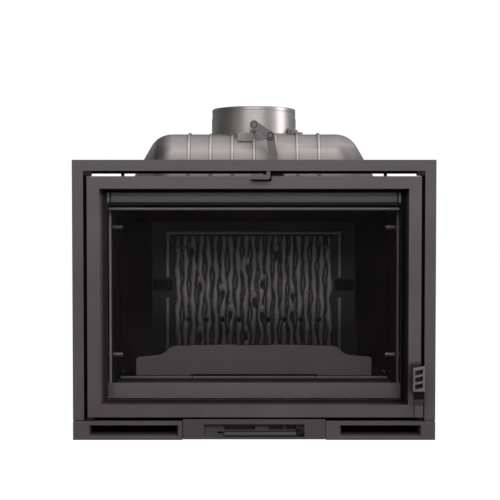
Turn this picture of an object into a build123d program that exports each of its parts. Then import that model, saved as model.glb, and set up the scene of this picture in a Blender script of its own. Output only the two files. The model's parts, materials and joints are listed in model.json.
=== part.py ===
from build123d import *
import os
from math import atan2, cos, degrees, hypot, pi, radians, sin, tan

# Fireplace insert. Millimetres, +Z up, the front faces -Y.
# The origin is on the floor, straight below the axis of the flue collar.

# ---- reference planes ------------------------------------------------------------------------
FLUE_SETBACK = 240.0            # flue axis behind the face of the surround
FRONT = -FLUE_SETBACK           # plane of the surround's face
RUNNING = 0.05                  # radial clearance of shafts and pins
PRESS = 0.02                    # radial allowance of fixed pins
SEAT_GAP = 0.3                  # between pieces that rest near each other but move apart
BOLT_HEX = 13.0                 # across flats of the M8 heads
COLLAR_SCREW_R = 4.0
BOLT_HEAD = 5.5
DOME_BOLT_HEX, DOME_BOLT_HEAD = 8.0, 4.0

# ---- surround: folded sheet frame round the door ---------------------------------------------
SURROUND_WIDTH = 800.0
SURROUND_TOP = 618.0
SURROUND_FACE = 24.5
SURROUND_DEPTH = 46.0
SURROUND_SHEET = 3.0
FOLD_R = 1.0                    # outside of the folds
SURROUND_STEP = 4.5             # the lip stands this much further in than the face
SURROUND_STEP_DEPTH = 12.0
STILE_FOOT = 43.8

# ---- skirt and ash drawer front --------------------------------------------------------------
SKIRT_TOP = 41.4
SKIRT_DEPTH = 14.0
DRAWER_HALF = 157.6
DRAWER_GAP = 1.2
DRAWER_TOP = 46.0
DRAWER_PROUD = 2.0
FLOOR_CLEARANCE = 2.0
LEFT_SLOT_INSET, LEFT_SLOT_START = 35.0, 9.9        # air slots, from the surround's edge and the drawer
RIGHT_SLOT_INSET, RIGHT_SLOT_START = 31.0, 31.4
SLOT_LOW, SLOT_HIGH = 6.2, 32.7
SLOT_RAMP, SLOT_END_SLOPE = 9.4, 6.0

# ---- door ------------------------------------------------------------------------------------
DOOR_SIDE_GAP = 7.5
DOOR_TOP_GAP = 11.5
DOOR_FOOT_GAP = 8.4
DOOR_FACE = 27.5
DOOR_DEPTH = 36.0
BEVEL_SIDE, BEVEL_TOP, BEVEL_FOOT = 14.0, 8.0, 8.5
BEVEL_DEPTH = 28.0
GLASS_LAP = 6.0
GLASS_THICK = 4.0
GLASS_SEAL = 1.5
ROPE_INSET, ROPE_WIDTH, ROPE_GROOVE = 17.0, 9.0, 4.0
HINGE_INSET, HINGE_Y = 6.0, 6.0    # the hinge axis from the door's edge and face
HINGE_PIN_R = 3.0
HINGE_PIN_REACH = 20.0
CORNER_BLOCK = 18.0

# ---- firebox castings ------------------------------------------------------------------------
BASE_THICK, BASE_LEDGE = 6.0, 3.0
PLATE_THICK = 8.0               # front plate
PLATE_HALF = 388.0
PLATE_TOP = 576.0
MOUTH_HALF = 338.0
MOUTH_LOW, MOUTH_HIGH = 84.0, 525.5
WALL = 8.0
WALL_HALF = 341.0               # inner face of the side walls
CORNER_RUN, CORNER_DEEP = 41.0, 78.0    # the slanted rear corners, along X and along Y
BODY_TOP = 520.0
RIB_PROUD, RIB_WIDTH, RIB_END = 10.0, 6.0, 35.0
REAR_RIBS = 7
REAR_RIB_PITCH = 76.0
SIDE_RIBS = 6
SIDE_RIB_FIRST, SIDE_RIB_PITCH = 90.0, 38.0
RAIL_LOW, RAIL_WIDTH = 268.0, 8.0       # level rail across the cooling ribs

# ---- hearth ----------------------------------------------------------------------------------
HEARTH_TOP = 117.0
HEARTH_THICK = 12.0
TRAY_THICK = 10.0
SILL_TOP, SILL_END = 115.0, 78.0
HEARTH_START = 164.0            # front edge of the hearth plates, behind a trough
HEARTH_EDGE = 315.0             # the plates stop here beside the side linings
HEARTH_JOINT = 145.0
GRATE_HALF, GRATE_START, GRATE_END = 110.0, 196.0, 346.0
GRATE_LEDGE = 6.0
GUARD_DEPTH, GUARD_THICK = 172.0, 10.0
GUARD_HALF, GUARD_SHOULDER, GUARD_TOP = 279.0, 161.0, 190.4

# ---- linings ---------------------------------------------------------------------------------
LINER_HALF = 322.0
LINER_THICK = 8.0
LINER_START, LINER_END = SILL_END + SEAT_GAP, 264.0
LINER_TOP = 517.0
CORNER_THICK = 12.0             # slanted linings
FIREBACK_DEPTH = 400.0
FIREBACK_THICK = 14.0
FIREBACK_HALF = 262.0
DUCT_DEEP = 14.0                # air channel between the fireback and the rear wall
FIREBACK_TOP = 479.0
BEAD_HALF, BEAD_TOP, BEAD_WIDTH, BEAD_PROUD = 226.0, 456.0, 9.0, 4.0
BARK_HALF, BARK_TOP, BARK_PROUD = 204.0, 443.0, 5.0
AIR_HOLE_Z, AIR_HOLE_R, AIR_HOLE_PITCH, AIR_HOLE_FIRST = 228.0, 5.5, 43.3, 36.8
HOOK_X, HOOK_Z = 186.0, 416.0
CLAMP_LOW, CLAMP_HIGH = 306.0, 332.0
STUD_R, STUD_PROUD, STUD_DEPTH = 5.2, 22.0, 92.0
STUD_LOW, STUD_HIGH = 178.0, 469.0
BAFFLE_PIN_R, BAFFLE_PIN_DEPTH, BAFFLE_PIN_PROUD = 6.0, 215.0, 18.0
BAFFLE_THICK = 12.0
BAFFLE_FRONT, BAFFLE_RISE = 190.0, 28.0

# ---- smoke dome and flue collar --------------------------------------------------------------
DOME_TOP = 686.5
DOME_TOP_HALF, DOME_TOP_DEPTH = 226.5, 107.6
DOME_SIDE_SLOPE, DOME_FRONT_SLOPE = 62.0, 72.0
DOME_CORNER, DOME_EDGE = 62.0, 56.0
DOME_WALL = 6.0
DOME_FLANGE, DOME_FLANGE_THICK = 7.0, 5.0
DOME_LUG_R, DOME_LUG_OUT = 8.0, 6.5     # bolt lugs, and their centres out from the dome's foot
DOME_BOLTS_X, DOME_BOLT_Y = (150.0, 240.0), 50.0
DOME_RIBS = 7
DOME_RIB_PITCH, DOME_RIB_WIDTH, DOME_RIB_PROUD = 50.0, 5.0, 3.4
FLUE_R, FLUE_WALL = 100.0, 5.0
COLLAR_R = FLUE_R + 1.0                 # below the spigot
COLLAR_TOP, COLLAR_SEAT = 750.0, 677.0
SPIGOT_START = 727.0                    # the pipe's socket slides down to this shoulder
BOSS_END = 114.0                        # faces of the two shaft bosses, from the flue axis
NECK_R, NECK_TOP, NECK_REACH = 108.0, 687.5, 36.0
PAD_LEFT, PAD_RIGHT, PAD_LOW, PAD_REACH = -38.0, -1.0, 667.0, 114.0
CLAMP_RADIUS, CLAMP_ANGLE = 122.4, -33.0

# ---- flue damper -----------------------------------------------------------------------------
DAMPER_Z = 700.3
DAMPER_R = 92.0
SHAFT_R = 5.0
CRANK_X, CRANK_DROP = 36.6, 23.8        # crank pin, right of and below the damper shaft
CRANK_PLANE = 65.0                      # depth of the front faces of the crank and the rocker
BAR_THICK = 5.0
BAR_GAP = 1.0
CRANK_PIN_R = 4.0
CONTROL_X, CONTROL_Z = 31.0, 588.0
CONTROL_R = 4.0
OPEN_PIVOT_GAP = 0.6
TAB_LEFT, TAB_RIGHT, TAB_LOW, TAB_HIGH = -6.0, 35.6, 573.9, 585.3
TAB_FRONT, TAB_THICK = -14.0, 4.0

# ---- door handle -----------------------------------------------------------------------------
PIVOT_INSET, PIVOT_Z = 5.5, 68.0        # the spindle from the door's edge
SPINDLE_R = 4.0
HEAD_OUT, HEAD_IN, HEAD_LOW, HEAD_HIGH = 8.4, 16.9, 112.5, 165.5    # the head's sides from the spindle
HEAD_SLANT = 2.3
HEAD_FRONT, HEAD_THICK = -34.0, 10.0

# ---- ash drawer ------------------------------------------------------------------------------
PAN_HALF, PAN_START = 146.0, 22.0
PAN_REAR_GAP = 36.0             # from the pan to the rear wall
PAN_LOW, PAN_HIGH, PAN_SHEET = 10.0, 44.0, 2.0
RECESS_HALF, RECESS_LOW, RECESS_HIGH, RECESS_DEPTH = 111.0, 7.3, 35.2, 8.0
WINDOWS = ((-66.0, 2.0), (32.5, 93.0))
SLIDER_WEB = (63.0, 71.0)
WINDOW_LOW, WINDOW_HIGH = 21.5, 33.0
SLIDER_TRAVEL = 42.0
SLIDER_THICK = 2.0
SLIDER_STUD_R = 2.0
SLIDER_STUDS_X = (-36.0, 66.0)
BAR_LEFT, BAR_RIGHT, BAR_LOW, BAR_HIGH = -66.0, 94.0, 10.2, 19.9
KNOB_X, KNOB_Z, KNOB_R = 103.0, 20.6, 8.0

# ---- values that follow ----------------------------------------------------------------------
SURROUND_HALF = SURROUND_WIDTH / 2
LEFT_SLOT = (LEFT_SLOT_INSET - SURROUND_HALF, -DRAWER_HALF - LEFT_SLOT_START)
RIGHT_SLOT = (DRAWER_HALF + RIGHT_SLOT_START, SURROUND_HALF - RIGHT_SLOT_INSET)
OPENING_HALF = SURROUND_HALF - SURROUND_FACE
OPENING_TOP = SURROUND_TOP - SURROUND_FACE
LIP_TOP = OPENING_TOP - SURROUND_STEP
DOOR_HALF = OPENING_HALF - DOOR_SIDE_GAP
DOOR_TOP = OPENING_TOP - DOOR_TOP_GAP
DOOR_FOOT = SKIRT_TOP + DOOR_FOOT_GAP
VIEW_HALF = DOOR_HALF - DOOR_FACE - BEVEL_SIDE
VIEW_TOP = DOOR_TOP - DOOR_FACE - BEVEL_TOP
VIEW_FOOT = DOOR_FOOT + DOOR_FACE + BEVEL_FOOT
GLASS_SEAT = BEVEL_DEPTH + 1.0
GLASS_FRONT = GLASS_SEAT + GLASS_SEAL
GLASS_BACK = GLASS_FRONT + GLASS_THICK
HINGE_X = -DOOR_HALF + HINGE_INSET
PIVOT_X = DOOR_HALF - PIVOT_INSET
PLATE_FRONT = SURROUND_DEPTH
PLATE_BACK = PLATE_FRONT + PLATE_THICK
TRAY_TOP = HEARTH_TOP - HEARTH_THICK
TRAY_LOW = TRAY_TOP - TRAY_THICK
ROOF = BODY_TOP + WALL
BACK_DEPTH = FIREBACK_DEPTH + FIREBACK_THICK + DUCT_DEEP
BACK_HALF = WALL_HALF - CORNER_RUN
PAN_END = BACK_DEPTH - PAN_REAR_GAP
WALL_BEND = BACK_DEPTH - CORNER_DEEP
REAR_END = BACK_DEPTH + WALL
DOME_HEIGHT = DOME_TOP - ROOF
DOME_HALF = DOME_TOP_HALF + DOME_HEIGHT / tan(radians(DOME_SIDE_SLOPE))
DOME_DEPTH = DOME_TOP_DEPTH + DOME_HEIGHT / tan(radians(DOME_FRONT_SLOPE))
LINK_PLANE = CRANK_PLANE + BAR_THICK + BAR_GAP
SLIDER_STUD_Z = (BAR_LOW + BAR_HIGH) / 2

os.makedirs("parts", exist_ok=True)


# ---- helpers ---------------------------------------------------------------------------------
def save(piece, name):
    """Label a finished piece and write it."""
    piece.part.label = name
    export_step(piece.part, f"parts/{name}.step")


def upright(depth):
    """Upright sketch plane this far behind the face: local x is +X, local y is +Z."""
    return Plane.XZ.offset(-(FRONT + depth))


def level(height):
    """Level sketch plane at a height, with its origin on the face of the surround."""
    return Plane(origin=(0, FRONT, height), x_dir=(1, 0, 0), z_dir=(0, 0, 1))


def across(x):
    """Sketch plane square to X: local x is depth behind the face, local y is +Z."""
    return Plane(origin=(x, FRONT, 0), x_dir=(0, 1, 0), z_dir=(1, 0, 0))


def box_between(xs, depths, zs, mode=Mode.ADD):
    """A block between two corners, with Y given as depth behind the face."""
    middle = (sum(xs) / 2, FRONT + sum(depths) / 2, sum(zs) / 2)
    with Locations(middle):
        Box(abs(xs[1] - xs[0]), abs(depths[1] - depths[0]), abs(zs[1] - zs[0]), mode=mode)


def span(low, high, mode=Mode.ADD):
    """A rectangle between two corners of the open sketch."""
    with Locations(((low[0] + high[0]) / 2, (low[1] + high[1]) / 2)):
        Rectangle(high[0] - low[0], high[1] - low[1], mode=mode)


def cut_span(low, high):
    """The same rectangle, taken away."""
    span(low, high, mode=Mode.SUBTRACT)


def round_bar(points_xz, depth, length, radius, mode=Mode.ADD):
    """Cylinders along Y, from one depth backwards."""
    with BuildSketch(upright(depth)) as ends:
        with Locations(*points_xz):
            Circle(radius)
    extrude(ends.sketch, amount=-length, mode=mode)


# ---- surround --------------------------------------------------------------------------------
def arch(outset, inset):
    """The upside-down U between two insets from the outside of the surround."""
    for margin, mode in ((outset, Mode.ADD), (inset, Mode.SUBTRACT)):
        with Locations((0, STILE_FOOT)):
            Rectangle(2 * (SURROUND_HALF - margin), SURROUND_TOP - margin - STILE_FOOT,
                      align=(Align.CENTER, Align.MIN), mode=mode)


def arch_layer(outset, inset, start, end):
    with BuildSketch(upright(start)) as layer:
        arch(outset, inset)
    extrude(layer.sketch, amount=start - end)


def make_surround():
    lip = SURROUND_FACE + SURROUND_STEP
    catch_low, catch_high, catch_deep = PIVOT_Z - 26, PIVOT_Z + 8, 8.0
    notch_gap = 3.0
    with BuildPart() as surround:
        arch_layer(0, SURROUND_FACE, 0, SURROUND_SHEET)
        arch_layer(0, SURROUND_SHEET, SURROUND_SHEET, SURROUND_DEPTH)
        arch_layer(SURROUND_FACE - SURROUND_SHEET, SURROUND_FACE, SURROUND_SHEET, SURROUND_STEP_DEPTH)
        arch_layer(SURROUND_FACE - SURROUND_SHEET, lip, SURROUND_STEP_DEPTH - SURROUND_SHEET,
                   SURROUND_STEP_DEPTH)
        arch_layer(lip - SURROUND_SHEET, lip, SURROUND_STEP_DEPTH, SURROUND_DEPTH)
        rim = [edge for edge in surround.faces().sort_by(Axis.Y)[0].edges()
               if edge.center().Z > SURROUND_TOP - 1 or abs(edge.center().X) > SURROUND_HALF - 1]
        fillet(rim, FOLD_R)
        # the damper control passes through a notch in the lip of the top bar
        notch_half = CONTROL_R + notch_gap
        box_between((CONTROL_X - notch_half, CONTROL_X + notch_half),
                    (SURROUND_SHEET + notch_gap, SURROUND_DEPTH + 1),
                    (LIP_TOP - 1, CONTROL_Z + notch_half), mode=Mode.SUBTRACT)
        # the latch tongue turns into a slot in the lip of the right stile
        box_between((OPENING_HALF - SURROUND_STEP - 1, OPENING_HALF + catch_deep),
                    (DOOR_DEPTH, SURROUND_DEPTH + 1), (catch_low, catch_high), mode=Mode.SUBTRACT)
    save(surround, "surround_frame")


def make_frame_straps():
    """Short straps that tie the top bar to the front plate."""
    strap_x, strap_width, strap_thick, strap_lap = 293.0, 7.0, 6.0, 5.0
    with BuildPart() as straps:
        for x in (-strap_x, strap_x):
            box_between((x - strap_width / 2, x + strap_width / 2),
                        (PLATE_FRONT - strap_thick, PLATE_FRONT), (PLATE_TOP - strap_lap, LIP_TOP))
    save(straps, "frame_straps")


def make_hinge_brackets():
    """Corner blocks over the door, the hinge block and the rest ramp under it."""
    low = DOOR_TOP + 1.0
    inner = OPENING_HALF - CORNER_BLOCK
    foot_high = DOOR_FOOT - SEAT_GAP * 3
    start, step = 0.5, SURROUND_STEP_DEPTH - SURROUND_SHEET
    tail = 4.0                      # behind the step, under the lip
    block_left, block_right = HINGE_X - 8.0, HINGE_X + 9.0
    ramp_left, ramp_crest, ramp_right = DOOR_HALF - 16.0, DOOR_HALF - 6.0, DOOR_HALF + 2.5
    with BuildPart() as brackets:
        for side in (-1, 1):
            box_between((side * inner, side * OPENING_HALF), (start, step), (low, OPENING_TOP))
            box_between((side * inner, side * (OPENING_HALF - SURROUND_STEP)), (step, step + tail),
                        (low, LIP_TOP))
        box_between((block_left, block_right), (start, SKIRT_DEPTH), (SKIRT_TOP, foot_high))
        with BuildSketch(upright(start)):
            with BuildLine():
                Polyline((ramp_left, SKIRT_TOP), (ramp_right, SKIRT_TOP),
                         (ramp_right, foot_high), (ramp_crest, foot_high), close=True)
            make_face()
        extrude(amount=-(SKIRT_DEPTH - start))
        pin_place = [(HINGE_X, HINGE_Y)]
        with BuildSketch(level(OPENING_TOP)):
            with Locations(*pin_place):
                Circle(HINGE_PIN_R + PRESS)
        extrude(amount=-(OPENING_TOP - SKIRT_TOP), mode=Mode.SUBTRACT)
    save(brackets, "hinge_brackets")
    with BuildPart() as pins:
        with BuildSketch(level(OPENING_TOP)):
            with Locations(*pin_place):
                Circle(HINGE_PIN_R)
        extrude(amount=-(OPENING_TOP - DOOR_TOP + HINGE_PIN_REACH))
        with BuildSketch(level(SKIRT_TOP)):
            with Locations(*pin_place):
                Circle(HINGE_PIN_R)
        extrude(amount=DOOR_FOOT - SKIRT_TOP + HINGE_PIN_REACH)
    save(pins, "hinge_pins")


def make_skirt(side, slot, name):
    """Lower front panel with a long air slot whose foot and ends slope inwards."""
    inner, outer = DRAWER_HALF + DRAWER_GAP, SURROUND_HALF
    with BuildPart() as skirt:
        box_between((side * inner, side * outer), (0, SKIRT_DEPTH), (0, SKIRT_TOP))
        fillet(skirt.edges().filter_by(Axis.X).sort_by(Axis.Y)[0:2], 0.8)
        middle = sum(slot) / 2
        width = slot[1] - slot[0]
        with BuildSketch(upright(-0.01)):
            with Locations((middle, (SLOT_LOW + SLOT_HIGH) / 2)):
                Rectangle(width, SLOT_HIGH - SLOT_LOW)
        with BuildSketch(upright(SKIRT_DEPTH + 0.01)):
            with Locations((middle, (SLOT_LOW + SLOT_RAMP + SLOT_HIGH) / 2)):
                Rectangle(width - 2 * SLOT_END_SLOPE, SLOT_HIGH - SLOT_LOW - SLOT_RAMP)
        loft(mode=Mode.SUBTRACT)
    save(skirt, name)


# ---- door ------------------------------------------------------------------------------------
def door_ring(inset, width, start, end, mode=Mode.ADD):
    """A rectangular ring at an inset from the door's edge, between two depths."""
    with BuildSketch(upright(start)) as ring:
        span((-DOOR_HALF + inset, DOOR_FOOT + inset), (DOOR_HALF - inset, DOOR_TOP - inset))
        cut_span((-DOOR_HALF + inset + width, DOOR_FOOT + inset + width),
                 (DOOR_HALF - inset - width, DOOR_TOP - inset - width))
    extrude(ring.sketch, amount=start - end, mode=mode)


def glass_span(margin):
    """The rectangle of the glass rebate, less a margin."""
    lap = GLASS_LAP - margin
    span((-VIEW_HALF - lap, VIEW_FOOT - lap), (VIEW_HALF + lap, VIEW_TOP + lap))


def make_door_frame():
    face_half = DOOR_HALF - DOOR_FACE
    notch_gap = 2.5
    with BuildPart() as door:
        with BuildSketch(upright(0)):
            span((-DOOR_HALF, DOOR_FOOT), (DOOR_HALF, DOOR_TOP))
        extrude(amount=-DOOR_DEPTH)
        fillet(door.faces().sort_by(Axis.Y)[0].edges(), 1.2)
        # the window opening narrows through the thickness
        with BuildSketch(upright(0)):
            span((-face_half, DOOR_FOOT + DOOR_FACE), (face_half, DOOR_TOP - DOOR_FACE))
        with BuildSketch(upright(BEVEL_DEPTH)):
            span((-VIEW_HALF, VIEW_FOOT), (VIEW_HALF, VIEW_TOP))
        loft(mode=Mode.SUBTRACT)
        with BuildSketch(upright(BEVEL_DEPTH)):
            span((-VIEW_HALF, VIEW_FOOT), (VIEW_HALF, VIEW_TOP))
        extrude(amount=-(GLASS_SEAT - BEVEL_DEPTH), mode=Mode.SUBTRACT)
        with BuildSketch(upright(GLASS_SEAT)):
            glass_span(0)
        extrude(amount=-(DOOR_DEPTH - GLASS_SEAT), mode=Mode.SUBTRACT)
        door_ring(ROPE_INSET - ROPE_WIDTH / 2, ROPE_WIDTH, DOOR_DEPTH - ROPE_GROOVE, DOOR_DEPTH,
                  mode=Mode.SUBTRACT)
        # the door swings past the damper control through a notch in its top rail
        box_between((TAB_LEFT - notch_gap, TAB_RIGHT + notch_gap), (-1, DOOR_DEPTH + 1),
                    (TAB_LOW - notch_gap, DOOR_TOP + 1), mode=Mode.SUBTRACT)
        # hinge pin holes and spindle hole
        with BuildSketch(level(DOOR_TOP + 0.01)):
            with Locations((HINGE_X, HINGE_Y)):
                Circle(HINGE_PIN_R + RUNNING)
        extrude(amount=-(HINGE_PIN_REACH + 1), mode=Mode.SUBTRACT)
        with BuildSketch(level(DOOR_FOOT - 0.01)):
            with Locations((HINGE_X, HINGE_Y)):
                Circle(HINGE_PIN_R + RUNNING)
        extrude(amount=HINGE_PIN_REACH + 1, mode=Mode.SUBTRACT)
        round_bar([(PIVOT_X, PIVOT_Z)], -0.01, DOOR_DEPTH + 0.02, SPINDLE_R + RUNNING, Mode.SUBTRACT)
    save(door, "door_frame")


def make_door_glass():
    with BuildPart() as glass:
        with BuildSketch(upright(GLASS_FRONT)):
            glass_span(1.0)
        extrude(amount=-GLASS_THICK)
        chamfer(glass.edges().filter_by(Axis.Y, reverse=True), 0.6)
    save(glass, "door_glass")
    with BuildPart() as seal:
        with BuildSketch(upright(GLASS_SEAT)):
            glass_span(1.0)
            cut_span((-VIEW_HALF, VIEW_FOOT), (VIEW_HALF, VIEW_TOP))
        extrude(amount=-GLASS_SEAL)
    save(seal, "glass_seal")


def clip_places():
    """Where the glass is clipped: along the top, the foot and both sides."""
    outer, inner, edge = VIEW_HALF * 0.67, VIEW_HALF * 0.23, GLASS_LAP
    across_x = [-outer, -inner, inner, outer]
    view_height = VIEW_TOP - VIEW_FOOT
    along_z = [VIEW_FOOT + view_height * 0.25, VIEW_FOOT + view_height * 0.75]
    places = [(x, VIEW_TOP + edge, 90) for x in across_x] + [(x, VIEW_FOOT - edge, -90) for x in across_x]
    places += [(VIEW_HALF + edge, z, 0) for z in along_z] + [(-VIEW_HALF - edge, z, 180) for z in along_z]
    return places


def clip_block(x, z, turn, reach, width, depths):
    """A block at a clip's place: reach runs outwards from the glass, width along its edge."""
    out_x, out_z = round(cos(radians(turn))), round(sin(radians(turn)))
    side_x, side_z = abs(out_z) * width / 2, abs(out_x) * width / 2
    box_between((x + out_x * reach[0] - side_x, x + out_x * reach[1] + side_x), depths,
                (z + out_z * reach[0] - side_z, z + out_z * reach[1] + side_z))


def make_glass_clips():
    """Stepped clips that press the glass on its seal, and their screws."""
    reach_in, reach_out, width, thick, pad_gap = 5.0, 5.0, 16.0, 2.0, 1.5
    with BuildPart() as clips:
        for x, z, turn in clip_places():
            clip_block(x, z, turn, (-reach_in, reach_out), width, (DOOR_DEPTH, DOOR_DEPTH + thick))
            clip_block(x, z, turn, (-reach_in, -pad_gap), width, (GLASS_BACK, DOOR_DEPTH))
    save(clips, "glass_clips")
    screw_out, screw_flats, screw_head = 2.4, 4.4, 2.2
    places = [(x + screw_out * cos(radians(turn)), z + screw_out * sin(radians(turn)))
              for x, z, turn in clip_places()]
    with BuildPart() as screws:
        with BuildSketch(upright(DOOR_DEPTH + thick)):
            with Locations(*places):
                RegularPolygon(screw_flats / 2, 6, major_radius=False)
        extrude(amount=-screw_head)
    save(screws, "glass_clip_screws")


def make_door_rope():
    """Rope seal, round on the side that meets the front plate."""
    with BuildPart() as rope:
        door_ring(ROPE_INSET - ROPE_WIDTH / 2 + 0.1, ROPE_WIDTH - 0.2, DOOR_DEPTH - ROPE_GROOVE,
                  PLATE_FRONT - SEAT_GAP)
        back = rope.faces().sort_by(Axis.Y)[-1]
        fillet(back.edges(), ROPE_WIDTH * 0.4)
    save(rope, "door_rope_seal")


def make_handle():
    """Cast lever: a head pierced by slanted slots, a neck that leans out and a flat shank."""
    head_back = HEAD_FRONT + HEAD_THICK
    left, right = PIVOT_X - HEAD_IN, PIVOT_X + HEAD_OUT
    shank_half, shank_front, shank_back, shank_low, shank_high = 9.2, -9.0, -0.5, 51.7, 82.0
    neck_low = 78.0
    first_slot, slot_pitch, slot_high, slot_slant, rim = 118.5, 15.2, 11.0, 4.0, 4.2
    with BuildPart() as handle:
        with BuildSketch(upright(HEAD_FRONT)):
            with BuildLine():
                Polyline((left, HEAD_LOW), (right, HEAD_LOW), (right, HEAD_HIGH + HEAD_SLANT),
                         (left, HEAD_HIGH - HEAD_SLANT), close=True)
            make_face()
        extrude(amount=-HEAD_THICK)
        chamfer(handle.faces().sort_by(Axis.Y)[0].edges(), 0.9)
        # the shank lies against the door
        box_between((PIVOT_X - shank_half, PIVOT_X + shank_half), (shank_front, shank_back),
                    (shank_low, shank_high))
        # the neck runs from the shank's top forwards and up to the head
        with BuildSketch(level(neck_low)):
            with Locations((PIVOT_X, (shank_front + shank_back) / 2)):
                Rectangle(2 * shank_half, shank_back - shank_front)
        with BuildSketch(level(HEAD_LOW + 0.5)):
            span((left, HEAD_FRONT + 0.5), (right, head_back))
        loft()
        with BuildSketch(upright(HEAD_FRONT - 1)):
            for step in range(3):
                low = first_slot + step * slot_pitch
                with BuildLine():
                    Polyline((left + rim, low - slot_slant / 2), (right - rim, low + slot_slant / 2),
                             (right - rim, low + slot_high + slot_slant / 2),
                             (left + rim, low + slot_high - slot_slant / 2), close=True)
                make_face()
        extrude(amount=-(HEAD_THICK + 2), mode=Mode.SUBTRACT)
        # blind hole for the spindle
        round_bar([(PIVOT_X, PIVOT_Z)], shank_front + 2, -shank_front, SPINDLE_R + PRESS, Mode.SUBTRACT)
    save(handle, "door_handle")
    spindle_start, spindle_end = shank_front + 2, DOOR_DEPTH + 7.5
    with BuildPart() as spindle:
        round_bar([(PIVOT_X, PIVOT_Z)], spindle_start, spindle_end - spindle_start, SPINDLE_R)
    save(spindle, "handle_spindle")
    tongue_low, tongue_half, tongue_thick, tongue_start = PIVOT_Z - 22.0, 5.0, 4.0, DOOR_DEPTH + 2.5
    with BuildPart() as tongue:
        with BuildSketch(upright(tongue_start)):
            span((PIVOT_X - tongue_half, tongue_low), (PIVOT_X + tongue_half, PIVOT_Z))
            with Locations((PIVOT_X, PIVOT_Z)):
                Circle(SPINDLE_R + 2)
                Circle(SPINDLE_R + PRESS, mode=Mode.SUBTRACT)
        extrude(amount=-tongue_thick)
    save(tongue, "latch_tongue")


# ---- firebox castings ------------------------------------------------------------------------
def plan_outline(grow):
    """Half plan of the firebox walls as (x, depth) points, moved outwards by grow."""
    turn = atan2(WALL_HALF - BACK_HALF, BACK_DEPTH - WALL_BEND)
    bend_shift = grow * tan(turn / 2)
    rear_run = grow * (1 - sin(turn)) / cos(turn)
    return [(WALL_HALF + grow, PLATE_BACK), (WALL_HALF + grow, WALL_BEND + bend_shift),
            (BACK_HALF + rear_run, BACK_DEPTH + grow)]


def plan_face(grow, start):
    """The whole plan inside the walls, from a depth to the rear wall, on the open sketch."""
    points = plan_outline(grow)
    right = [(points[0][0], start)] + points[1:]
    left = [(-x, y) for x, y in reversed(right)]
    with BuildLine() as outline:
        Polyline(*right, *left, close=True)
    make_face(outline.edges())


def make_base_plate():
    half = WALL_HALF + WALL + BASE_LEDGE
    with BuildPart() as base:
        box_between((-half, half), (SKIRT_DEPTH, REAR_END), (0, BASE_THICK))
        rear_corners = base.edges().filter_by(Axis.Z).sort_by(Axis.Y)[-2:]
        chamfer(rear_corners, CORNER_RUN + BASE_LEDGE)
    save(base, "base_plate")


def make_front_plate():
    """Upright plate with the fire mouth, the drawer mouth and two low air windows."""
    drawer_half, drawer_high = PAN_HALF + 6, PAN_HIGH + 4
    window_start, window_end, window_low, window_high = drawer_half + 10, WALL_HALF - 2, 10.0, 39.0
    corner_r = 12.0
    with BuildPart() as plate:
        with BuildSketch(upright(PLATE_FRONT)):
            span((-PLATE_HALF, BASE_THICK), (PLATE_HALF, PLATE_TOP))
            fillet(vertices(), corner_r)
            cut_span((-MOUTH_HALF, MOUTH_LOW), (MOUTH_HALF, MOUTH_HIGH))
            cut_span((-drawer_half, BASE_THICK), (drawer_half, drawer_high))
            for side in (-1, 1):
                cut_span((side * window_start, window_low), (side * window_end, window_high))
        extrude(amount=-PLATE_THICK)
    save(plate, "front_plate")


def make_side_wall(side, name):
    """Side wall with its slanted rear corner and upright cooling ribs."""
    loop = plan_outline(0) + list(reversed(plan_outline(WALL)))
    with BuildPart() as wall:
        with BuildSketch(level(BASE_THICK)):
            with BuildLine():
                Polyline(*[(side * x, y) for x, y in loop], close=True)
            make_face()
        extrude(amount=BODY_TOP - BASE_THICK)
        outer_x = WALL_HALF + WALL
        rib_low, rib_high = BASE_THICK + RIB_END, BODY_TOP - RIB_END
        rib_depths = [SIDE_RIB_FIRST + i * SIDE_RIB_PITCH for i in range(SIDE_RIBS)]
        for depth in rib_depths:
            box_between((side * (outer_x - 1), side * (outer_x + RIB_PROUD)),
                        (depth - RIB_WIDTH / 2, depth + RIB_WIDTH / 2), (rib_low, rib_high))
        box_between((side * (outer_x - 1), side * (outer_x + RIB_PROUD * 0.6)),
                    (PLATE_BACK, rib_depths[-1]), (RAIL_LOW, RAIL_LOW + RAIL_WIDTH))
    save(wall, name)


def make_rear_wall():
    half = plan_outline(WALL)[2][0]
    inner_half = BACK_HALF
    with BuildPart() as wall:
        with BuildSketch(level(BASE_THICK)):
            with BuildLine():
                Polyline((-inner_half, BACK_DEPTH), (inner_half, BACK_DEPTH), (half, REAR_END),
                         (-half, REAR_END), close=True)
            make_face()
        extrude(amount=BODY_TOP - BASE_THICK)
        for i in range(REAR_RIBS):
            x = (i - (REAR_RIBS - 1) / 2) * REAR_RIB_PITCH
            box_between((x - RIB_WIDTH / 2, x + RIB_WIDTH / 2), (REAR_END - 1, REAR_END + 2 * RIB_PROUD),
                        (BASE_THICK + RIB_END, BODY_TOP - RIB_END))
        rail_half = REAR_RIB_PITCH * (REAR_RIBS - 1) / 2
        box_between((-rail_half, rail_half), (REAR_END - 1, REAR_END + RIB_PROUD),
                    (RAIL_LOW, RAIL_LOW + RAIL_WIDTH))
    save(wall, "rear_wall")


def make_top_plate():
    ledge_x, ledge_y, corner_r = 30.0, 26.0, 30.0     # under the foot of the dome
    opening_half, opening_depth = DOME_HALF - ledge_x, DOME_DEPTH - ledge_y
    with BuildPart() as top:
        with BuildSketch(level(BODY_TOP)):
            plan_face(WALL, PLATE_BACK)
            with Locations((0, FLUE_SETBACK)):
                RectangleRounded(2 * opening_half, 2 * opening_depth, corner_r, mode=Mode.SUBTRACT)
        extrude(amount=WALL)
    save(top, "top_plate")


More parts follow.
